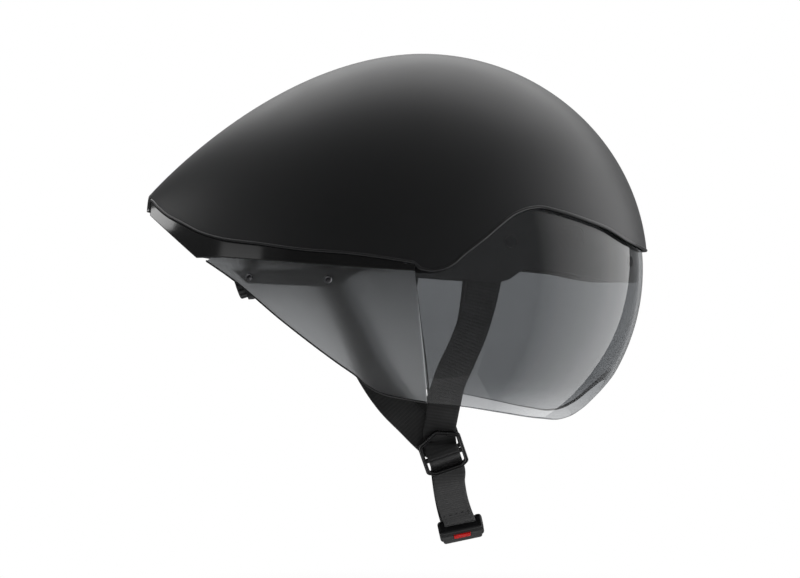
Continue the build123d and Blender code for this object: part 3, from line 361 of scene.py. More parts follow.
def closed_wall(name, outer, inner):
    """Solid between two grids of places, closed along its four borders."""
    rows, columns = outer.shape[:2]
    count = rows * columns
    numbers = np.arange(count).reshape(rows, columns)
    border = [*numbers[0], *numbers[1:, -1], *numbers[-1, -2::-1], *numbers[-2:0:-1, 0]]
    faces = grid_faces(rows, columns) + grid_faces(rows, columns, count)
    for first, second in map(sorted, zip(border, border[1:] + border[:1])):
        faces.append([first, second, second + count, first + count])
    return mesh_object(name, np.vstack([outer.reshape(-1, 3), inner.reshape(-1, 3)]), faces)


def prism(name, outline, reach):
    """Solid across the helmet, from a side-view outline."""
    count = len(outline)
    vertices = [(x, y, z) for y in (-reach, reach) for x, z in outline]
    sides = [(k, (k + 1) % count, count + (k + 1) % count, count + k) for k in range(count)]
    return mesh_object(name, vertices, [range(count), range(count, 2 * count)] + sides)


def swept(name, rows, capped=True):
    """Closed solid through loops of places; the first and last are closed, or else they meet."""
    rows = np.asarray(rows)
    count, columns = rows.shape[:2]
    faces = grid_faces(count, columns, round_rows=not capped, round_columns=True)
    if capped:
        faces += [range(columns), range((count - 1) * columns, count * columns)]
    return mesh_object(name, rows.reshape(-1, 3), faces)


def swept_along(name, line, beside, above, loop):
    """Solid of one section, given as places beside and above, along a line."""
    across, up = loop[None, :, :1], loop[None, :, 1:]
    return swept(name, line[:, None] + beside[:, None] * across + above[:, None] * up)


def lathe(name, profile, segments, groove=lambda radius, turn: 0):
    """Solid of revolution about Z, from radius and height; groove is what comes off a radius at a turn."""
    rows = []
    for turn in np.linspace(0, 2 * pi, segments, endpoint=False):
        reach = [(radius - groove(radius, turn), height) for radius, height in profile]
        rows.append([(r * MM * cos(turn), r * MM * sin(turn), z * MM) for r, z in reach])
    faces = grid_faces(segments, len(profile), round_rows=True)
    return mesh_object(name, np.array(rows).reshape(-1, 3), faces)


def applied(piece):
    """Puts the result of the piece's modifiers into its own mesh."""
    bpy.context.view_layer.update()
    graph = bpy.context.evaluated_depsgraph_get()
    mesh = bpy.data.meshes.new_from_object(piece.evaluated_get(graph), depsgraph=graph)
    piece.modifiers.clear()
    old, piece.data = piece.data, mesh
    bpy.data.meshes.remove(old)
    mesh.name = piece.name
    return piece


def modifier(piece, kind, **settings):
    step = piece.modifiers.new(kind.lower(), kind)
    for name, value in settings.items():
        setattr(step, name, value)
    return step


def rounded(piece, width, segments=3, angle=40):
    """Rounds the edges sharper than an angle, and fixes the result in the mesh."""
    modifier(piece, "BEVEL", width=width, segments=segments, limit_method="ANGLE", angle_limit=radians(angle),
             harden_normals=False)
    return applied(piece)


def boolean(piece, others, operation):
    """Joins the others to the piece, or takes them away from it, and removes them."""
    for other in others:
        modifier(piece, "BOOLEAN", operation=operation, object=other, solver="EXACT")
    applied(piece)
    for other in others:
        bpy.data.objects.remove(other)
    return piece


def cut(piece, cutters):
    return boolean(piece, cutters, "DIFFERENCE")


def joined(piece, others):
    return boolean(piece, others, "UNION")


def built(name, create, shape, **sizes):
    """Object from one of bmesh's own solids, sized and set by a matrix."""
    work = bmesh.new()
    create(work, **sizes)
    bmesh.ops.transform(work, matrix=shape, verts=work.verts)
    mesh = bpy.data.meshes.new(name)
    work.to_mesh(mesh)
    work.free()
    return in_scene(name, mesh)


def block(name, size, radius, centre=(0, 0, 0)):
    """Box in millimetres with rounded edges."""
    shape = Matrix.Translation(Vector(centre) * MM) @ Matrix.Diagonal([s * MM for s in size] + [1])
    return rounded(built(name, bmesh.ops.create_cube, shape, size=1), radius * MM, 4, 30)


def blocks(table):
    return [block(name, *values) for name, values in table.items()]


def framed(piece, origin, across, along, outward):
    """Moves the piece's own mesh from its axes to those of a frame; origin in millimetres."""
    matrix = Matrix((across, along, outward)).transposed().to_4x4()
    matrix.translation = Vector(origin) * MM
    piece.data.transform(matrix)
    if matrix.determinant() < 0:
        piece.data.flip_normals()
    return piece


def smoothed(piece, angle=35):
    """Smooth shading, apart from edges sharper than an angle."""
    piece.data.shade_smooth()
    piece.data.set_sharp_from_angle(angle=radians(angle))
    return piece


def place(piece, body, material, slot, *nodes):
    """Gives the piece its material and its body, and hides the nodes that it stands for; its slot is not
    used.
    """
    piece.data.materials.clear()
    piece.data.materials.append(material)
    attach(piece, body)
    if nodes:
        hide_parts(*nodes)
    return piece


# Materials

def shader_of(material):
    return material.node_tree.nodes["Principled BSDF"]


def set_inputs(owner, node, inputs):
    """Sets a node's inputs by name, with _ for a space, to constants or to other nodes' outputs."""
    for name, value in inputs.items():
        sink = node.inputs[name.replace("_", " ")]
        if isinstance(value, bpy.types.NodeSocket):
            link(owner, value, sink)
        else:
            sink.default_value = value


def add_node(owner, kind, **inputs):
    node = owner.node_tree.nodes.new(kind)
    set_inputs(owner, node, inputs)
    return node


def link(owner, source, sink):
    owner.node_tree.links.new(source, sink)


def coordinates(owner, kind="Object"):
    return add_node(owner, "ShaderNodeTexCoord").outputs[kind]


def mapped(owner, value, **ends):
    """The value carried from one range to another."""
    return add_node(owner, "ShaderNodeMapRange", Value=value, **ends).outputs["Result"]


def worked(owner, operation, first, second):
    """One value from two, by an operation."""
    both = add_node(owner, "ShaderNodeMath")
    both.operation = operation
    link(owner, first, both.inputs[0])
    link(owner, second, both.inputs[1])
    return both.outputs["Value"]


def place_along(owner, axis):
    """The surface's own coordinate along an axis."""
    return add_node(owner, "ShaderNodeSeparateXYZ", Vector=coordinates(owner)).outputs[axis]


def surface(name, color, roughness, **sockets):
    """Material of one Principled shader; sockets are its other inputs."""
    material = bpy.data.materials.new(name)
    material.use_nodes = True
    shade(material, Base_Color=(*color, 1), Roughness=roughness, **sockets)
    return material


def shade(material, **sockets):
    set_inputs(material, shader_of(material), sockets)


def noise(material, scale, detail=3.0, stretch=None):
    """Noise on the piece's own coordinates, as a value from 0 to 1."""
    source = coordinates(material)
    if stretch:
        source = add_node(material, "ShaderNodeMapping", Vector=source, Scale=stretch).outputs["Vector"]
    return add_node(material, "ShaderNodeTexNoise", Vector=source, Scale=scale, Detail=detail).outputs["Fac"]


def cells(material, scale):
    """Cells, as a distance from each one's middle."""
    source = coordinates(material)
    return add_node(material, "ShaderNodeTexVoronoi", Vector=source, Scale=scale).outputs["Distance"]


def waves(material, per_metre, direction, distortion):
    """Waves on the piece's own map, which is in metres along and across."""
    source, scale = coordinates(material, "UV"), per_metre * WAVE_SCALE
    texture = add_node(
        material, "ShaderNodeTexWave", Vector=source, Scale=scale, Distortion=distortion, Detail=1.0)
    texture.bands_direction = direction
    return texture.outputs["Fac"]


def shades(color, low, high):
    return [tuple(share * part for part in color) for share in (low, high)]


def tone(material, pattern, dark, light, low=0.3, high=0.7):
    """Colours the surface between two tones by a pattern."""
    ramp = add_node(material, "ShaderNodeValToRGB", Fac=pattern)
    ends = ramp.color_ramp.elements
    ends[0].position, ends[1].position = low, high
    ends[0].color, ends[1].color = (*dark, 1), (*light, 1)
    shade(material, Base_Color=ramp.outputs["Color"])


def polish(material, pattern, low, high):
    """Varies the roughness between two values by a pattern."""
    shade(material, Roughness=mapped(material, pattern, To_Min=low, To_Max=high))


def relief(material, pattern, strength, distance):
    """Raises the surface by a pattern, on top of any relief that it already has."""
    earlier = {"Normal": joint.from_socket for joint in shader_of(material).inputs["Normal"].links}
    bump = add_node(
        material, "ShaderNodeBump", Strength=strength, Distance=distance, Height=pattern, **earlier)
    shade(material, Normal=bump.outputs["Normal"])


def shell_paint():
    paint = surface("matte_shell_paint", (0.011, 0.0115, 0.013), 0.46, Specular_IOR_Level=0.5)
    tone(paint, noise(paint, 6.0), (0.0100, 0.0105, 0.0120), (0.0125, 0.0130, 0.0145))
    polish(paint, noise(paint, 40.0), 0.44, 0.50)
    relief(paint, noise(paint, 2400.0, 2.0), 0.10, 0.00005)
    return paint


def gloss_paint():
    paint = surface("gloss_black_trim", (0.006, 0.006, 0.0065), 0.10)
    polish(paint, noise(paint, 60.0), 0.08, 0.14)
    tone(paint, noise(paint, 25.0), (0.005, 0.005, 0.0055), (0.008, 0.008, 0.0085))
    relief(paint, noise(paint, 150.0, 1.0), 0.05, 0.00005)
    return paint


def satin_plastic(name, color, low=0.38, high=0.5, grain=1500.0, grain_depth=0.00008, **sockets):
    plastic = surface(name, color, low, **sockets)
    tone(plastic, noise(plastic, 30.0), *shades(color, 0.85, 1.2))
    polish(plastic, noise(plastic, 90.0), low, high)
    relief(plastic, cells(plastic, grain), 0.25, grain_depth)
    return plastic


def bead_foam():
    foam = surface("moulded_bead_foam", (0.022, 0.022, 0.023), 0.75)
    beads = cells(foam, 420.0)
    tone(foam, beads, (0.026, 0.026, 0.027), (0.012, 0.012, 0.013), 0.2, 0.9)
    relief(foam, beads, 0.6, 0.0004)
    return foam


def smoke_lens(name, color, roughness, clear, high, low, cleared):
    """Smoked sheet whose tint clears between two heights, to its colour at the lower one."""
    lens = surface(name, color, roughness, Transmission_Weight=clear, IOR=1.5)
    tone(lens, noise(lens, 9.0, 1.0), *shades(color, 0.97, 1.03))
    tint = shader_of(lens).inputs["Base Color"].links[0].from_socket
    fade = mapped(lens, place_along(lens, "Z"), From_Min=high, From_Max=low)
    mix = add_node(lens, "ShaderNodeMixRGB", Fac=fade, Color1=tint, Color2=(*cleared, 1))
    shade(lens, Base_Color=mix.outputs["Color"])
    return lens


def metal(name, color, roughness):
    plate = surface(name, color, roughness, Metallic=1.0)
    polish(plate, noise(plate, 400.0, 2.0, (1, 8, 1)), roughness - 0.06, roughness + 0.1)
    tone(plate, noise(plate, 120.0), *shades(color, 0.8, 1))
    return plate


def pad_fabric():
    fabric = surface("brushed_pad_fabric", (0.03, 0.03, 0.032), 0.85, Sheen_Weight=0.35, Sheen_Roughness=0.4)
    tone(fabric, noise(fabric, 350.0), (0.022, 0.022, 0.024), (0.042, 0.042, 0.045))
    relief(fabric, cells(fabric, 900.0), 0.5, 0.0003)
    relief(fabric, noise(fabric, 2500.0, 4.0), 0.3, 0.0001)
    return fabric


def webbing_weave():
    weave = surface("flat_woven_webbing", (0.014, 0.014, 0.015), 0.62, Sheen_Weight=0.12, Sheen_Roughness=0.5)
    ribs = waves(weave, RIBS_PER_METRE, "X", 0.4)
    woven = worked(weave, "MULTIPLY", ribs, waves(weave, YARNS_PER_METRE, "Y", 0.2))
    tone(weave, woven, (0.008, 0.008, 0.0085), (0.020, 0.020, 0.0215), 0.1, 0.9)
    relief(weave, woven, 0.5, 0.0002)
    relief(weave, noise(weave, 3000.0, 2.0), 0.2, 0.0001)
    return weave


shell_material = shell_paint()
trim_material = gloss_paint()
carrier_material = satin_plastic("satin_carrier_plastic", (0.016, 0.016, 0.0175))
foam_material = bead_foam()
visor_material = smoke_lens(
    "clear_smoke_lens", (0.33, 0.34, 0.35), 0.0, 1.0, high=-0.074, low=-0.092, cleared=(0.52, 0.53, 0.54))
fairing_material = smoke_lens(
    "hazy_smoke_fairing", (0.36, 0.37, 0.38), 0.52, 0.94, high=0.0, low=-0.085, cleared=(0.54, 0.55, 0.56))
magnet_material = metal("black_nickel_magnet", (0.06, 0.06, 0.062), 0.3)
screw_material = metal("black_oxide_screw", (0.22, 0.22, 0.23), 0.32)
pad_material = pad_fabric()
webbing_material = webbing_weave()
buckle_material = satin_plastic("moulded_buckle_plastic", (0.012, 0.012, 0.013), 0.22, 0.34, 2200.0)
housing_material = satin_plastic(
    "buckle_housing_plastic", (0.009, 0.009, 0.010), 0.26, 0.36, 2200.0, Specular_IOR_Level=0.2)
button_material = satin_plastic(
    "red_button_plastic", (0.80, 0.004, 0.004), 0.42, 0.5, 2500.0, 0.000002, Specular_IOR_Level=0.1)
rim_material = satin_plastic("satin_rim_paint", (0.016, 0.0165, 0.018), 0.26, 0.34, 1800.0)
thread_material = satin_plastic("polyester_thread", (0.030, 0.030, 0.032), 0.5, 0.6, 3000.0)
band_material = satin_plastic("flexible_band_plastic", (0.020, 0.020, 0.021), 0.42, 0.55)
dial_material = satin_plastic("rubber_dial_grip", (0.015, 0.015, 0.016), 0.5, 0.62, 1800.0)


# Shell, trim and tail cap

def shell_grid(inset):
    """Rows of places from the right rim over the top to the left rim, one row for each station."""
    nose_height = rim_height(FRONT_LENGTH)
    last = sqrt(1 - (nose_height / (CROWN_HEIGHT - inset)) ** 2) * (FRONT_LENGTH - inset)
    turn = np.linspace(0, pi / 2, SHELL_STATIONS // 2)
    tail = np.linspace(-TAIL_LENGTH + TAIL_CAP_DEPTH + GAP, 0, SHELL_STATIONS // 2, endpoint=False)
    rows = []
    for x in np.concatenate([tail, last * np.sin(turn)]):
        low = rim_height(x)
        half_width, height = section_size(np.array(x), np.array(low), inset)
        start = np.arcsin(np.clip(low / height, -1, 1))
        angles = np.linspace(start, pi - start, SHELL_COLUMNS)
        y, z = -half_width * np.cos(angles), height * np.sin(angles)
        rows.append(np.stack([np.full(SHELL_COLUMNS, x), y, z], -1))
    return np.array(rows)


def make_lip(name, slot, line, radius, columns=12):
    """Round bead along an edge."""
    tangent = unit(np.gradient(line, axis=0))
    beside = unit(np.cross(tangent, [0, 0, 1]))
    turns = np.linspace(0, 2 * pi, columns, endpoint=False)
    loop = radius * np.stack([np.cos(turns), np.sin(turns)], -1)
    bead = swept_along(name, line, beside, np.cross(beside, tangent), loop)
    place(smoothed(bead), "helmet", rim_material, slot)


def make_shell():
    outer, inner = (shell_grid(inset) for inset in (0, SHELL_WALL))
    shell = rounded(closed_wall("shell", outer, inner), SHELL_ROUNDING)
    place(shell, "helmet", shell_material, "shell", "outer_shell")
    wall = outer * (1 - LIP_DEPTH_SHARE) + inner * LIP_DEPTH_SHARE
    edge = np.vstack([wall[:, 0], wall[-1, 1:-1], wall[::-1, -1]])
    make_lip("shell_lip", "shell", resample(edge + [0, 0, LIP_RADIUS], LIP_STEPS), LIP_RADIUS)


def ruled_wall(name, low, high, inset, wall, side, rows):
    """Wall between two lines of equal length in the side view."""
    share = np.linspace(0, 1, rows)[None, :, None]
    flat = low[:, None, :] * (1 - share) + high[:, None, :] * share
    outer, inner = (form_point(flat[..., 0], flat[..., 1], depth, side) for depth in (inset, inset + wall))
    return closed_wall(name, outer, inner)


def over_x(line, places):
    return np.stack([places, np.interp(places, line[:, 0], line[:, 1])], -1)


def make_trim(name, side):
    low = np.vstack([[-TAIL_LENGTH, TAIL_FACE_SHARE * CROWN_HEIGHT], side_line(TRIM_EDGE_SHARES)])
    high = smooth_line(side_line(REAR_RIM_SHARES, -GAP))
    start = -TAIL_LENGTH + TAIL_CAP_DEPTH + GAP
    places = np.unique(np.concatenate([np.linspace(start, high[-1, 0], TRIM_STATIONS), low[1:-1, 0]]))
    lines = over_x(low, places), over_x(high, places)
    trim = ruled_wall(f"lower_trim_piece_{name}", *lines, 0, SHELL_WALL, side, TRIM_ROWS)
    place(rounded(trim, TRIM_ROUNDING), "helmet", trim_material, "trim", f"lower_trim_{name}")
    line = form_point(*over_x(low[1:], places[places > low[1, 0]]).T, TRIM_LIP_RADIUS, side)
    line = resample(line, TRIM_LIP_STEPS) + [0, 0, TRIM_LIP_RADIUS / 2]
    make_lip(f"trim_lip_{name}", "trim", line, TRIM_LIP_RADIUS)


# Visor, seat, fairings and brackets

def around_nose(line, inset, count):
    """Turn round the nose and height along a side-view line, at evenly spaced turns from right to left."""
    x, z = line.T
    level = np.sqrt(np.clip(1 - (z / (CROWN_HEIGHT - inset)) ** 2, GAP, 1))
    turn = np.arccos(np.clip(x / ((FRONT_LENGTH - inset) * level), -1, 1))
    reach = int(np.argmin(turn))
    turn, z = turn[:reach + 1][::-1], z[:reach + 1][::-1]
    places = np.linspace(-turn[-1], turn[-1], count)
    return places, np.interp(np.abs(places), turn, z)


def nose_point(turn, z, inset):
    level = np.sqrt(np.clip(1 - (z / (CROWN_HEIGHT - inset)) ** 2, 0, 1))
    x = (FRONT_LENGTH - inset) * level * np.cos(turn)
    point = form_point(x, z, inset, 1)
    point[..., 1] = np.where(x > 0, (HALF_WIDTH - inset) * level * np.sin(np.abs(turn)), -point[..., 1])
    point[..., 1] *= np.sign(turn)
    return point


def nose_wall(name, low, high, inset, wall, columns, rows):
    """Wall round the nose between two side-view lines."""
    share = np.linspace(0, 1, rows)[None, :]
    layers = []
    for depth in (inset, inset + wall):
        ends = zip(around_nose(low, depth, columns), around_nose(high, depth, columns))
        turns, z = (first[:, None] * (1 - share) + last[:, None] * share for first, last in ends)
        layers.append(nose_point(turns, z, depth))
    return closed_wall(name, *layers)


def level_to_nose(line):
    """The line, carried on level past the nose."""
    return np.vstack([line, [FRONT_LENGTH * NOSE_OVERRUN_SHARE, line[-1, 1]]])


def make_visor():
    seam_top, seam_foot = side_line(SEAM_SHARES) + [GAP, 0]
    low = smooth_line(np.vstack([seam_foot, side_line(VISOR_EDGE_SHARES)]), CURVE_STEPS)
    high = smooth_line(side_line(FRONT_RIM_SHARES, -SEAM_GAP), CURVE_STEPS)
    high = level_to_nose(np.vstack([[seam_top[0], high[0, 1]], high]))
    lens = nose_wall("visor_glazing", low, high, LENS_INSET, LENS_WALL, VISOR_COLUMNS, VISOR_ROWS)
    place(rounded(lens, SHEET_ROUNDING, 2), "visor", visor_material, "smoke_lens", "visor_lens")


def make_seat():
    low = side_line(SEAT_EDGE_SHARES)
    front = smooth_line(side_line(FRONT_RIM_SHARES, SEAT_RISE), CURVE_STEPS)
    high = level_to_nose(np.vstack([[low[0, 0], front[0, 1]], front]))
    inset = LENS_INSET + LENS_WALL + SEAM_GAP
    seat = nose_wall("brow_carrier", resampled_runs(low), high, inset, SEAT_WALL, SEAT_COLUMNS, SEAT_ROWS)
    window = prism("vent_cutter", rounded_outline(side_line(VENT_CORNER_SHARES), VENT_ROUND), HALF_WIDTH)
    seat = rounded(cut(seat, [window]), TRIM_ROUNDING, 2)
    place(seat, "helmet", carrier_material, "carrier", "visor_seat")


def make_fairing(name, side):
    low = smooth_line(np.vstack([side_line(FAIRING_EDGE_SHARES), side_line(SEAM_SHARES[1:])]))
    low = resample(low, FAIRING_COLUMNS)
    upper = side_line(TRIM_EDGE_SHARES, TUCK)[1:]
    upper[-1, 0] = side_line(SEAM_SHARES)[0, 0]
    high = resample(np.vstack([low[:1], upper]), FAIRING_COLUMNS)
    wall = ruled_wall(f"ear_fairing_{name}", low, high, LENS_INSET, LENS_WALL, side, FAIRING_ROWS)
    wall = rounded(wall, SHEET_ROUNDING, 2)
    place(wall, "helmet", fairing_material, "smoke_fairing", f"fairing_{name}")
    around = LENS_INSET - EDGE_OVERLAP, LENS_WALL + 2 * EDGE_OVERLAP
    band = ruled_wall(f"fairing_edge_{name}", low - [0, GAP], low + [0, EDGE_BAND], *around, side, 3)
    place(band, "helmet", rim_material, "trim")


def make_bracket(name, side):
    """Flat strip behind the fairing, on two arms that step in and go up under the trim."""
    inset = LENS_INSET + LENS_WALL + GAP
    low = side_line(BRACKET_SHARES)
    top = np.array([[x, BRACKET_TOP] for x in (low[0, 0], low[-1, 0])])
    low = resampled_runs(low)
    low = low[low[:, 1] <= BRACKET_TOP]
    top = resample(top, len(low))
    bracket = ruled_wall(f"fairing_mount_{name}", low, top, inset, BRACKET_WALL, side, BRACKET_ROWS)
    step = np.clip(np.linspace(*ARM_STEP_SHARES, ARM_ROWS)[None, :], 0, 1)
    arms = []
    for x_share, _ in SCREW_PLACE_SHARES:
        places = x_share * TAIL_LENGTH + np.linspace(-ARM_HALF, ARM_HALF, ARM_COLUMNS)
        foot = np.stack([places, np.full(ARM_COLUMNS, BRACKET_TOP - ARM_LAP)], -1)
        head = over_x(side_line(TRIM_EDGE_SHARES, TUCK), places)
        depth = inset + ARM_STEP * step**2 * (3 - 2 * step)
        arms.append(ruled_wall(f"mount_arm_{x_share}", foot, head, depth, BRACKET_WALL, side, ARM_ROWS))
    bracket = rounded(joined(bracket, arms), SHEET_ROUNDING, 2)
    place(bracket, "helmet", carrier_material, "carrier", f"fairing_bracket_{name}")


# Small pieces repeated on points

REPEAT_SEED, REPEAT_SIZES = 5, (0.94, 1.04)
REPEAT_INPUTS = {
    "Points": "Geometry", "Template": "Object", "Material": "Material", "Seed": "Int",
    "Smallest": "Float", "Largest": "Float",
}
REPEAT_NODES = {
    "input": "NodeGroupInput", "result": "NodeGroupOutput", "aim": "GeometryNodeInputNamedAttribute",
    "turn": "FunctionNodeAlignRotationToVector", "size": "FunctionNodeRandomValue",
    "info": "GeometryNodeObjectInfo", "put": "GeometryNodeInstanceOnPoints",
    "whole": "GeometryNodeRealizeInstances", "paint": "GeometryNodeSetMaterial",
}
REPEAT_LINKS = (
    ("input", "Points", "put", "Points"), ("input", "Template", "info", "Object"),
    ("input", "Seed", "size", "Seed"), ("input", "Material", "paint", "Material"),
    ("info", "Geometry", "put", "Instance"), ("aim", "Attribute", "turn", "Vector"),
    ("turn", "Rotation", "put", "Rotation"), ("put", "Instances", "whole", "Geometry"),
    ("whole", "Geometry", "paint", "Geometry"), ("paint", "Geometry", "result", "Pieces"),
)


def repeat_tree():
    """Node tree that sets a template on each point, its Z turned to the point's own aim."""
    tree = bpy.data.node_groups.new("repeat_on_points", "GeometryNodeTree")
    inputs = {}
    for name, kind in REPEAT_INPUTS.items():
        socket = tree.interface.new_socket(name, in_out="INPUT", socket_type=f"NodeSocket{kind}")
        inputs[name] = socket.identifier
    tree.interface.new_socket("Pieces", in_out="OUTPUT", socket_type="NodeSocketGeometry")
    nodes = {name: tree.nodes.new(kind) for name, kind in REPEAT_NODES.items()}
    nodes["aim"].data_type, nodes["turn"].axis = "FLOAT_VECTOR", "Z"
    nodes["aim"].inputs["Name"].default_value = "aim"
    size = nodes["size"]
    size.data_type = "FLOAT"
    low, high = [socket for socket in size.inputs if socket.enabled and socket.name in ("Min", "Max")]
    scale = next(socket for socket in size.outputs if socket.enabled)
    given = nodes["input"].outputs
    tree.links.new(given["Smallest"], low)
    tree.links.new(given["Largest"], high)
    tree.links.new(scale, nodes["put"].inputs["Scale"])
    for start, output, end, sink in REPEAT_LINKS:
        tree.links.new(nodes[start].outputs[output], nodes[end].inputs[sink])
    return tree, inputs


repeat_group, repeat_inputs = repeat_tree()


def repeated(name, places, aims, template, material):
    """One mesh of the template set at every place, turned to the aim there."""
    mesh = bpy.data.meshes.new(name)
    mesh.from_pydata([tuple(p) for p in places], [], [])
    aim = mesh.attributes.new("aim", "FLOAT_VECTOR", "POINT")
    for index, way in enumerate(aims):
        aim.data[index].vector = way
    piece = in_scene(name, mesh)
    repeat = modifier(piece, "NODES", node_group=repeat_group)
    smallest, largest = REPEAT_SIZES
    values = {"Template": template, "Material": material, "Seed": REPEAT_SEED, "Smallest": smallest,
              "Largest": largest}
    for socket, value in values.items():
        repeat[repeat_inputs[socket]] = value
    applied(piece)
    bpy.data.objects.remove(template)
    piece.data.shade_smooth()
    return piece


def make_screws():
    places, aims = [], []
    for side in SIDES.values():
        for x_share, z_share in SCREW_PLACE_SHARES:
            x, z = x_share * TAIL_LENGTH, z_share * CROWN_HEIGHT
            spot, ahead, above = (form_point(np.array(x + dx), np.array(z + dz), LENS_INSET, side)
                                  for dx, dz in ((0, 0), (MM, 0), (0, MM)))
            outward = np.cross(ahead - spot, above - spot)
            outward *= -np.sign(outward[1]) * side / np.linalg.norm(outward)
            places.append(spot)
            aims.append(outward)
    head = lathe("screw_head", SCREW_PROFILE, SCREW_SEGMENTS)
    radius = SCREW_SOCKET_RADIUS * MM
    hexagon = [(radius * cos(pi * k / 3), radius * sin(pi * k / 3)) for k in range(6)]
    socket = prism("screw_socket", hexagon, SCREW_SOCKET_REACH * MM)
    upright = Matrix.Translation((0, 0, SCREW_SOCKET_HEIGHT * MM)) @ Matrix.Rotation(pi / 2, 4, "X")
    socket.data.transform(upright)
    head = smoothed(rounded(cut(head, [socket]), SCREW_ROUNDING, 2, 50))
    screws = repeated("fairing_screw_heads", places, aims, head, screw_material)
    place(screws, "helmet", screw_material, "screw", "fairing_screws")


# Webbing, dividers and buckle

def mirrored(points, side, sway=None):
    """Places on one side; on the left each one moves along the helmet by its own sway."""
    shifts = sway if sway and side == LEFT else [0] * len(points)
    return [Vector((x + shift, side * y, z)) * MM for (x, y, z), shift in zip(points, shifts)]


def divider_frame(side):
    turn, lean = radians(DIVIDER_TURN), radians(DIVIDER_LEAN)
    across = Vector((cos(turn), 0, sin(turn)))
    upward = Vector((-sin(turn) * cos(lean), -side * sin(lean), cos(turn) * cos(lean)))
    x, y, z = DIVIDER_CENTRE
    return (x, side * y, z), across, upward, across.cross(upward) * side


def buckle_frame():
    roll, tilt = radians(BUCKLE_ROLL), radians(BUCKLE_TILT)
    across = Vector((cos(roll), 0, sin(roll)))
    outward = Vector((0, -sin(tilt), -cos(tilt)))
    outward = (outward - across * outward.dot(across)).normalized()
    return BUCKLE_CENTRE, across, outward.cross(across), outward


def dial_frame():
    tilt = radians(DIAL_TILT)
    upward, outward = Vector((-sin(tilt), 0, cos(tilt))), Vector((-cos(tilt), 0, -sin(tilt)))
    return DIAL_CENTRE, upward, outward.cross(upward), outward


def frame_places(axes, places):
    """World places from millimetres along a frame's three directions."""
    origin, across, along, outward = axes
    return [Vector(origin) * MM + (across * a + along * b + outward * c) * MM for a, b, c in places]


def webbing_loop():
    """Section of the webbing as places across and outward: flat faces and rolled edges."""
    edge, half = WEBBING_THICKNESS / 2, WEBBING_WIDTH / 2
    flat = np.linspace(-1, 1, 11) * (half - edge)
    turns = np.radians(np.linspace(90, -90, 7)[1:-1])
    crown = WEBBING_CROWN_SHARE
    top = [(x, edge * (1 - crown + crown * cos(pi * x / half) ** 2)) for x in flat]
    right = [(half - edge + edge * cos(t), edge * sin(t)) for t in turns]
    foot = [(x, -z) for x, z in reversed(top)]
    left = [(-x, -z) for x, z in right]
    return np.array(top + right + foot + left) * MM


def ribbon(name, points, outwards, steps=10):
    """Webbing through the points, its face turned as the outward directions say, and its own course."""
    line = smooth_line(points, steps)
    share = np.arange(len(line)) / steps
    facing = np.stack([np.interp(share, range(len(points)), column) for column in np.array(outwards).T], -1)
    tangent = unit(np.gradient(line, axis=0))
    wide = unit(np.cross(tangent, facing))
    outward = np.cross(wide, tangent)
    loop = webbing_loop()
    piece = smoothed(swept_along(name, line, wide, outward, loop), 60)
    along = distance_along(line)
    layer = piece.data.uv_layers.new(name="metres")
    for corner in piece.data.loops:
        row, column = divmod(corner.vertex_index, len(loop))
        layer.data[corner.index].uv = (along[row], loop[column, 0])
    return piece, (line, along, tangent, wide, outward)


def stitched_box(course, start, length):
    """Places and aims of a sewn box, on both faces of a webbing's course."""
    half = (WEBBING_WIDTH / 2 - STITCH_MARGIN) * MM
    lift = (WEBBING_THICKNESS / 2 + STITCH_THICKNESS / 6) * MM
    count_across, count_along = (int(reach / (STITCH_PITCH * MM)) for reach in (2 * half, length))
    stitches = [(distance, step * half, (0, 1)) for distance in (start, start + length)
                for step in np.linspace(-1, 1, count_across)]
    stitches += [(start + step * length, across, (1, 0)) for across in (-half, half)
                 for step in np.linspace(0, 1, count_along)[1:-1]]
    line, along, *ways = course
    places, aims = [], []
    for distance, across, (ahead, beside) in stitches:
        spot, forward, side, out = (
            np.array([np.interp(distance, along, column) for column in part.T]) for part in (line, *ways))
        for face in (-1, 1):
            places.append(spot + side * across + out * face * lift)
            aims.append(forward * ahead + side * beside)
    return places, aims


def make_straps(name, side):
    axes = divider_frame(side)
    outside, turn = Vector((0, -side, 0)), radians(REAR_FACE_TURN)
    rearward = Vector((-sin(turn), -side * cos(turn), 0))
    straps = {
        "front": (mirrored(FRONT_ROUTE, side, FRONT_SWAY), FRONT_FOLD, outside),
        "rear": (mirrored(REAR_ROUTE, side, REAR_SWAY), REAR_FOLD, rearward),
    }
    for end, (upper, fold, first) in straps.items():
        facing = [first.lerp(outside, k / 4) for k in range(len(upper) - 1)] + [axes[3]] * (len(fold) + 1)
        strap, _ = ribbon(f"{end}_strap_{name}", upper + frame_places(axes, fold), facing)
        place(strap, "helmet", webbing_material, "webbing", f"strap_{end}_{name}")


def make_chin_strap(name, side, route, ends):
    """Webbing from the divider to the buckle, and the seam that holds it there."""
    start = frame_places(divider_frame(side), CHIN_FOLD)
    first, last = divider_frame(side)[3], buckle_frame()[3]
    middle = mirrored(route, RIGHT)
    shares = [(k + 1) / (len(middle) + 1) for k in range(len(middle))]
    facing = [first] * len(start) + [first.lerp(last, share) for share in shares]
    points = start + middle + frame_places(buckle_frame(), [(0, end, 0) for end in ends])
    strap, course = ribbon(f"chin_webbing_{name}", points, facing + [last] * len(ends))
    places, aims = stitched_box(course, course[1][-1] - SEAM_START, SEAM_LENGTH)
    template = built("stitch", bmesh.ops.create_uvsphere, Matrix.Diagonal(STITCH_SHAPE),
                     u_segments=8, v_segments=6, radius=MM / 2)
    seam = repeated(f"chin_webbing_seam_{name}", places, aims, template, thread_material)
    return strap, seam


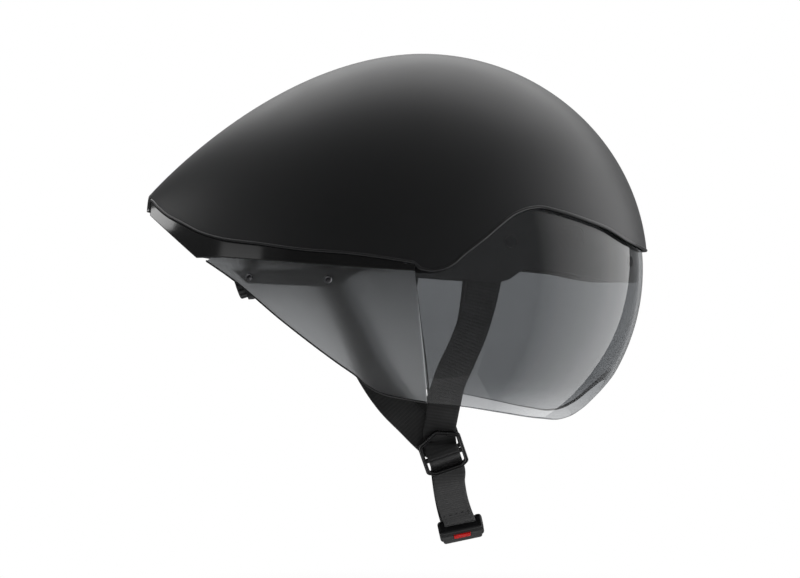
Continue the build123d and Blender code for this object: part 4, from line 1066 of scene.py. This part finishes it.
def make_chin_straps():
    reach = SOCKET_LENGTH / 2 + BUCKLE_GAP
    strap, seam = make_chin_strap("right", RIGHT, CHIN_ROUTE, (reach + CHIN_RUN_IN, reach))
    place(strap, "helmet", webbing_material, "webbing", "chin_strap_right")
    place(seam, "helmet", thread_material, "webbing")
    foot = TONGUE_FACE - TONGUE_HEAD_LENGTH - BUCKLE_GAP
    strap, seam = make_chin_strap("left", LEFT, TONGUE_ROUTE, (foot - TONGUE_RUN_IN, foot))
    for piece, material in ((strap, webbing_material), (seam, thread_material)):
        piece.data.materials.clear()
        piece.data.materials.append(material)
        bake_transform(piece)
    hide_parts("chin_strap_left")


def make_divider(name, side):
    outer = rounded_outline(DIVIDER_CORNERS, DIVIDER_ROUND)
    inner = rounded_outline(inset_corners(DIVIDER_CORNERS, DIVIDER_RIM), DIVIDER_ROUND / 2)
    rows = []
    for (x0, y0), (x1, y1) in zip(outer, inner):
        rows.append([((x0 + (x1 - x0) * s) * MM, (y0 + (y1 - y0) * s) * MM, z * MM) for s, z in RIM_PROFILE])
    ring = swept(f"strap_divider_{name}", rows, capped=False)
    bar = block("divider_bar", DIVIDER_BAR, DIVIDER_BAR_ROUND, (0, -DIVIDER_BAR_DROP, 0))
    ring = smoothed(joined(ring, [bar]), 32)
    framed(ring, *divider_frame(side))
    place(ring, "helmet", buckle_material, "buckle", f"divider_{name}")


def make_buckle():
    socket, *cutters = blocks(SOCKET_BLOCKS)
    socket = smoothed(rounded(cut(socket, cutters), BUCKLE_ROUNDING, 2, 50))
    head, blade, *cutters = blocks(TONGUE_BLOCKS)
    tongue = smoothed(rounded(cut(joined(head, [blade]), cutters), BUCKLE_ROUNDING, 2, 50))
    button = smoothed(block("release_key", BUTTON_SIZE, BUTTON_ROUND, BUTTON_CENTRE))
    for piece, body, material, slot, node in (
        (socket, "helmet", housing_material, "buckle", "buckle_socket"),
        (tongue, "tongue", housing_material, "buckle", "buckle_tongue"),
        (button, "button", button_material, "button", "release_button"),
    ):
        place(framed(piece, *buckle_frame()), body, material, slot, node)


# Fit dial

def dial_groove(radius, turn):
    """What the grips take off the dial's radius."""
    depth = DIAL_GRIP_DEPTH * max(0, cos(DIAL_GRIPS * turn)) ** 1.5
    return depth * np.clip((radius - DIAL_GRIP_START) / DIAL_GRIP_BLEND, 0, 1)


def make_dial():
    dial = smoothed(lathe("dial_knob", DIAL_PROFILE, 12 * DIAL_GRIPS, dial_groove), 40)
    place(framed(dial, *dial_frame()), "dial", dial_material, "carrier", "fit_dial")
    for name, node, body, width, material, slot in (
        ("dial_case", "dial_housing", "cradle", CASE_ROUNDING, carrier_material, "carrier"),
        ("tail_end_cap", "tail_cap", "helmet", TRIM_ROUNDING, trim_material, "trim"),
    ):
        case = smoothed(rounded(from_model(name, node), width, 3, 35))
        place(case, body, material, slot, node)


# Pads

def point_values(mesh, kind="co"):
    values = np.empty(3 * len(mesh.vertices))
    mesh.vertices.foreach_get(kind, values)
    return values.reshape(-1, 3)


def move_points(mesh, places):
    mesh.vertices.foreach_set("co", places.ravel())
    mesh.update()


def inflate(piece):
    """Lets the pad swell under pressure, and holds each point to a small rise."""
    start = point_values(piece.data)
    cloth = modifier(piece, "CLOTH")
    cloth.settings.use_pressure = True
    cloth.settings.uniform_pressure_force = PAD_PRESSURE
    cloth.settings.effector_weights.gravity = 0
    cloth.settings.quality = 6
    for number in range(1, PAD_STEPS + 1):
        bpy.context.scene.frame_set(number)
    graph = bpy.context.evaluated_depsgraph_get()
    step = point_values(piece.evaluated_get(graph).to_mesh()) - start
    piece.evaluated_get(graph).to_mesh_clear()
    piece.modifiers.remove(cloth)
    bpy.context.scene.frame_set(1)
    reach = np.linalg.norm(step, axis=1)[:, None]
    move_points(piece.data, start + step * np.minimum(1, PAD_RISE / np.maximum(reach, 1e-9)))


def pad_channels(piece, axis, places):
    """Presses the sewn channels into the pad's face towards the head."""
    points, normals = point_values(piece.data), point_values(piece.data, "normal")
    inward = np.clip(-np.sum(normals * points, axis=1) / np.linalg.norm(points, axis=1), 0, 1)
    depth = sum(np.exp(-((points[:, axis] - spot) / PAD_CHANNEL_WIDTH) ** 2) for spot in places)
    move_points(piece.data, points - normals * (PAD_CHANNEL_DEPTH * inward * depth)[:, None])


def make_pad(name, node, body, axis):
    """Pad from the model's own solid: remeshed, softened, swollen and pressed in along its channels."""
    pad = from_model(name, node)
    low, high = (Vector(corner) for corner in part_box(node))
    middle, reach = (low + high) / 2, (high - low)[axis] / 2
    modifier(pad, "REMESH", mode="VOXEL", voxel_size=PAD_VOXEL)
    modifier(pad, "SMOOTH", factor=PAD_SOFTNESS, iterations=PAD_SMOOTHINGS)
    modifier(pad, "DISPLACE", strength=-PAD_START_INSET, mid_level=0)
    applied(pad)
    inflate(pad)
    modifier(pad, "SUBSURF", levels=1, render_levels=1)
    applied(pad)
    pad_channels(pad, axis, [middle[axis] + share * reach for share in PAD_CHANNEL_SHARES])
    pad.data.shade_smooth()
    place(pad, body, pad_material, "pad", node)


make_shell()
make_visor()
make_seat()
make_screws()
for side_name, side_sign in SIDES.items():
    for make in (make_trim, make_fairing, make_bracket, make_straps, make_divider):
        make(side_name, side_sign)
    make_pad(f"temple_cushion_{side_name}", f"side_pad_{side_name}", "helmet", 0)
make_chin_straps()
make_buckle()
make_dial()
make_pad("brow_cushion", "brow_pad", "helmet", 1)
make_pad("crown_cushion", "crown_pad", "helmet", 0)
make_pad("nape_cushion", "nape_pad", "cradle", 1)

NODE_MATERIALS = {
    "liner": foam_material, "seat_magnets": magnet_material, "visor_magnets": magnet_material,
    "strap_anchors": carrier_material, "temple_pins": band_material, "fit_band": band_material,
    "fit_rack": band_material, "dial_pinion": band_material,
}
for node_name, node_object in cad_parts.items():
    for start, node_material in NODE_MATERIALS.items():
        if node_name.startswith(start):
            node_object.data.materials.clear()
            node_object.data.materials.append(node_material)


# Studio

WORLD_FILL = 0.22
FLOOR_HEIGHT, FLOOR_REACH = -0.30, 6.0
FLOOR_SHADE_NEAR, FLOOR_SHADE_FAR = 0.35, 0.75
FAR = 2.4
FRONT_EDGE = (
    (-FAR, -FAR), (0.37, -FAR), (0.36, -0.7), (0.45, -0.17), (0.62, 0.30), (0.70, 1.0), (-FAR, 1.0),
)
TAIL_EDGE = (0.05, 0.28), (0.40, 0.28), (0.40, 0.50), (0.05, 0.50)
QUARTER_EDGE = (-0.85, 0.02), (-0.40, 0.02), (-0.40, 0.30), (-0.85, 0.30)


def add_light(name, spot, aim, size, power):
    lamp = bpy.data.lights.new(name, "AREA")
    lamp.shape, lamp.energy = "RECTANGLE", power
    lamp.size, lamp.size_y = size
    light = in_scene(name, lamp)
    light.location = spot
    light.rotation_euler = (Vector(aim) - Vector(spot)).to_track_quat("-Z", "Y").to_euler()


def seen_directly(owner):
    """One where a ray comes from the camera or through glass, and the ray's other kinds."""
    rays = add_node(owner, "ShaderNodeLightPath").outputs
    return worked(owner, "MAXIMUM", rays["Is Camera Ray"], rays["Is Transmission Ray"]), rays


def add_world():
    """White world for the camera, glass and metal, and a soft fill for everything else."""
    world = bpy.data.worlds.new("studio")
    bpy.context.scene.world = world
    world.use_nodes = True
    background = world.node_tree.nodes["Background"]
    background.inputs["Color"].default_value = (1, 1, 1, 1)
    seen, rays = seen_directly(world)
    seen = worked(world, "MAXIMUM", seen, rays["Is Glossy Ray"])
    link(world, mapped(world, seen, To_Min=WORLD_FILL, To_Max=1.0), background.inputs["Strength"])


def add_camera():
    camera = in_scene("camera", bpy.data.cameras.new("camera"))
    camera.data.sensor_width = SENSOR_WIDTH
    camera.data.lens = SENSOR_WIDTH * FOCAL_PIXELS / IMAGE_WIDTH
    camera.location = CAMERA_PLACE
    camera.rotation_euler = (pi / 2, 0, 0)
    bpy.context.scene.camera = camera


def glow(name, axis, start, end, low, high):
    """Glow that runs from one level to another along one axis of the studio."""
    material = bpy.data.materials.new(name)
    material.use_nodes = True
    nodes = material.node_tree.nodes
    nodes.remove(shader_of(material))
    ends = {"From_Min": start, "From_Max": end, "To_Min": low, "To_Max": high}
    level = mapped(material, place_along(material, axis), **ends)
    emission = add_node(material, "ShaderNodeEmission", Strength=level).outputs["Emission"]
    link(material, emission, nodes["Material Output"].inputs["Surface"])
    return material


def floor_paper():
    """Pale paper that keeps the shadow near the object and is plain white further off."""
    paper = surface("pale_floor_paper", (0.82, 0.82, 0.82), 0.85)
    distance = add_node(paper, "ShaderNodeVectorMath", Vector=coordinates(paper))
    distance.operation = "LENGTH"
    away = mapped(paper, distance.outputs["Value"], From_Min=FLOOR_SHADE_NEAR, From_Max=FLOOR_SHADE_FAR)
    away.node.interpolation_type = "SMOOTHSTEP"
    white = add_node(paper, "ShaderNodeEmission", Strength=1.0)
    share = worked(paper, "MULTIPLY", seen_directly(paper)[0], away)
    mix = add_node(paper, "ShaderNodeMixShader", Fac=share)
    link(paper, shader_of(paper).outputs["BSDF"], mix.inputs[1])
    link(paper, white.outputs["Emission"], mix.inputs[2])
    link(paper, mix.outputs["Shader"], paper.node_tree.nodes["Material Output"].inputs["Surface"])
    return paper


def square(reach):
    return (-reach, -reach), (reach, -reach), (reach, reach), (-reach, reach)


def studio_panel(name, axis, at, edge, material):
    """Flat panel of the studio across one axis, with its outline in the other two."""
    mesh = bpy.data.meshes.new(name)
    corners = [(*corner[:axis], at, *corner[axis:]) for corner in edge]
    mesh.from_pydata(corners, [], [tuple(range(len(corners)))])
    mesh.materials.append(material)
    panel = in_scene(name, mesh)
    return panel


def make_studio():
    """Floor, and the panels and dark flags that only reflections see."""
    floor = studio_panel("floor", 2, FLOOR_HEIGHT, square(FLOOR_REACH), floor_paper())
    floor.visible_glossy = False
    for name, (axis, at, edge, *ramp) in PANELS.items():
        panel = studio_panel(name, axis, at, edge, glow(f"{name}_glow", *ramp))
        panel.visible_camera = panel.visible_diffuse = panel.visible_shadow = False
        panel.visible_transmission = panel.visible_volume_scatter = False


# Each panel's axis, place along it and outline, and its glow: which axis, from where to where, how strong
PANELS = {
    "front_panel": (0, 1.2, FRONT_EDGE, "Y", -1.2, 0.0, 0.13, 3.1),
    "tail_panel": (0, -1.2, TAIL_EDGE, "Y", 0.0, 0.7, 4.5, 6.0),
    "quarter_panel": (0, -1.2, QUARTER_EDGE, "Z", 0.0, 0.3, 1.5, 0.7),
    "near_flag": (1, -FAR, square(FAR), "Z", -2.4, -0.9, 0.50, 0.12),
    "far_flag": (1, FAR, square(FAR), "Z", -1.0, 2.0, 0.16, 0.40),
    "tail_flag": (0, -FAR, square(FAR), "Z", -1.0, 2.0, 0.12, 0.26),
    "front_flag": (0, FAR, square(FAR), "Z", -1.0, 2.0, 0.14, 0.30),
    "top_flag": (2, FAR, square(FAR), "Y", -1.9, 1.9, 0.12, 0.45),
    "low_flag": (2, -FAR, square(FAR), "Y", -1.9, 1.9, 0.75, 0.55),
}

add_camera()
add_world()
make_studio()
add_light("top_softbox", (0.10, 0.40, 0.95), (0.0, 0.0, 0.05), (1.8, 1.2), 15)
bpy.context.scene.view_settings.view_transform = "Standard"
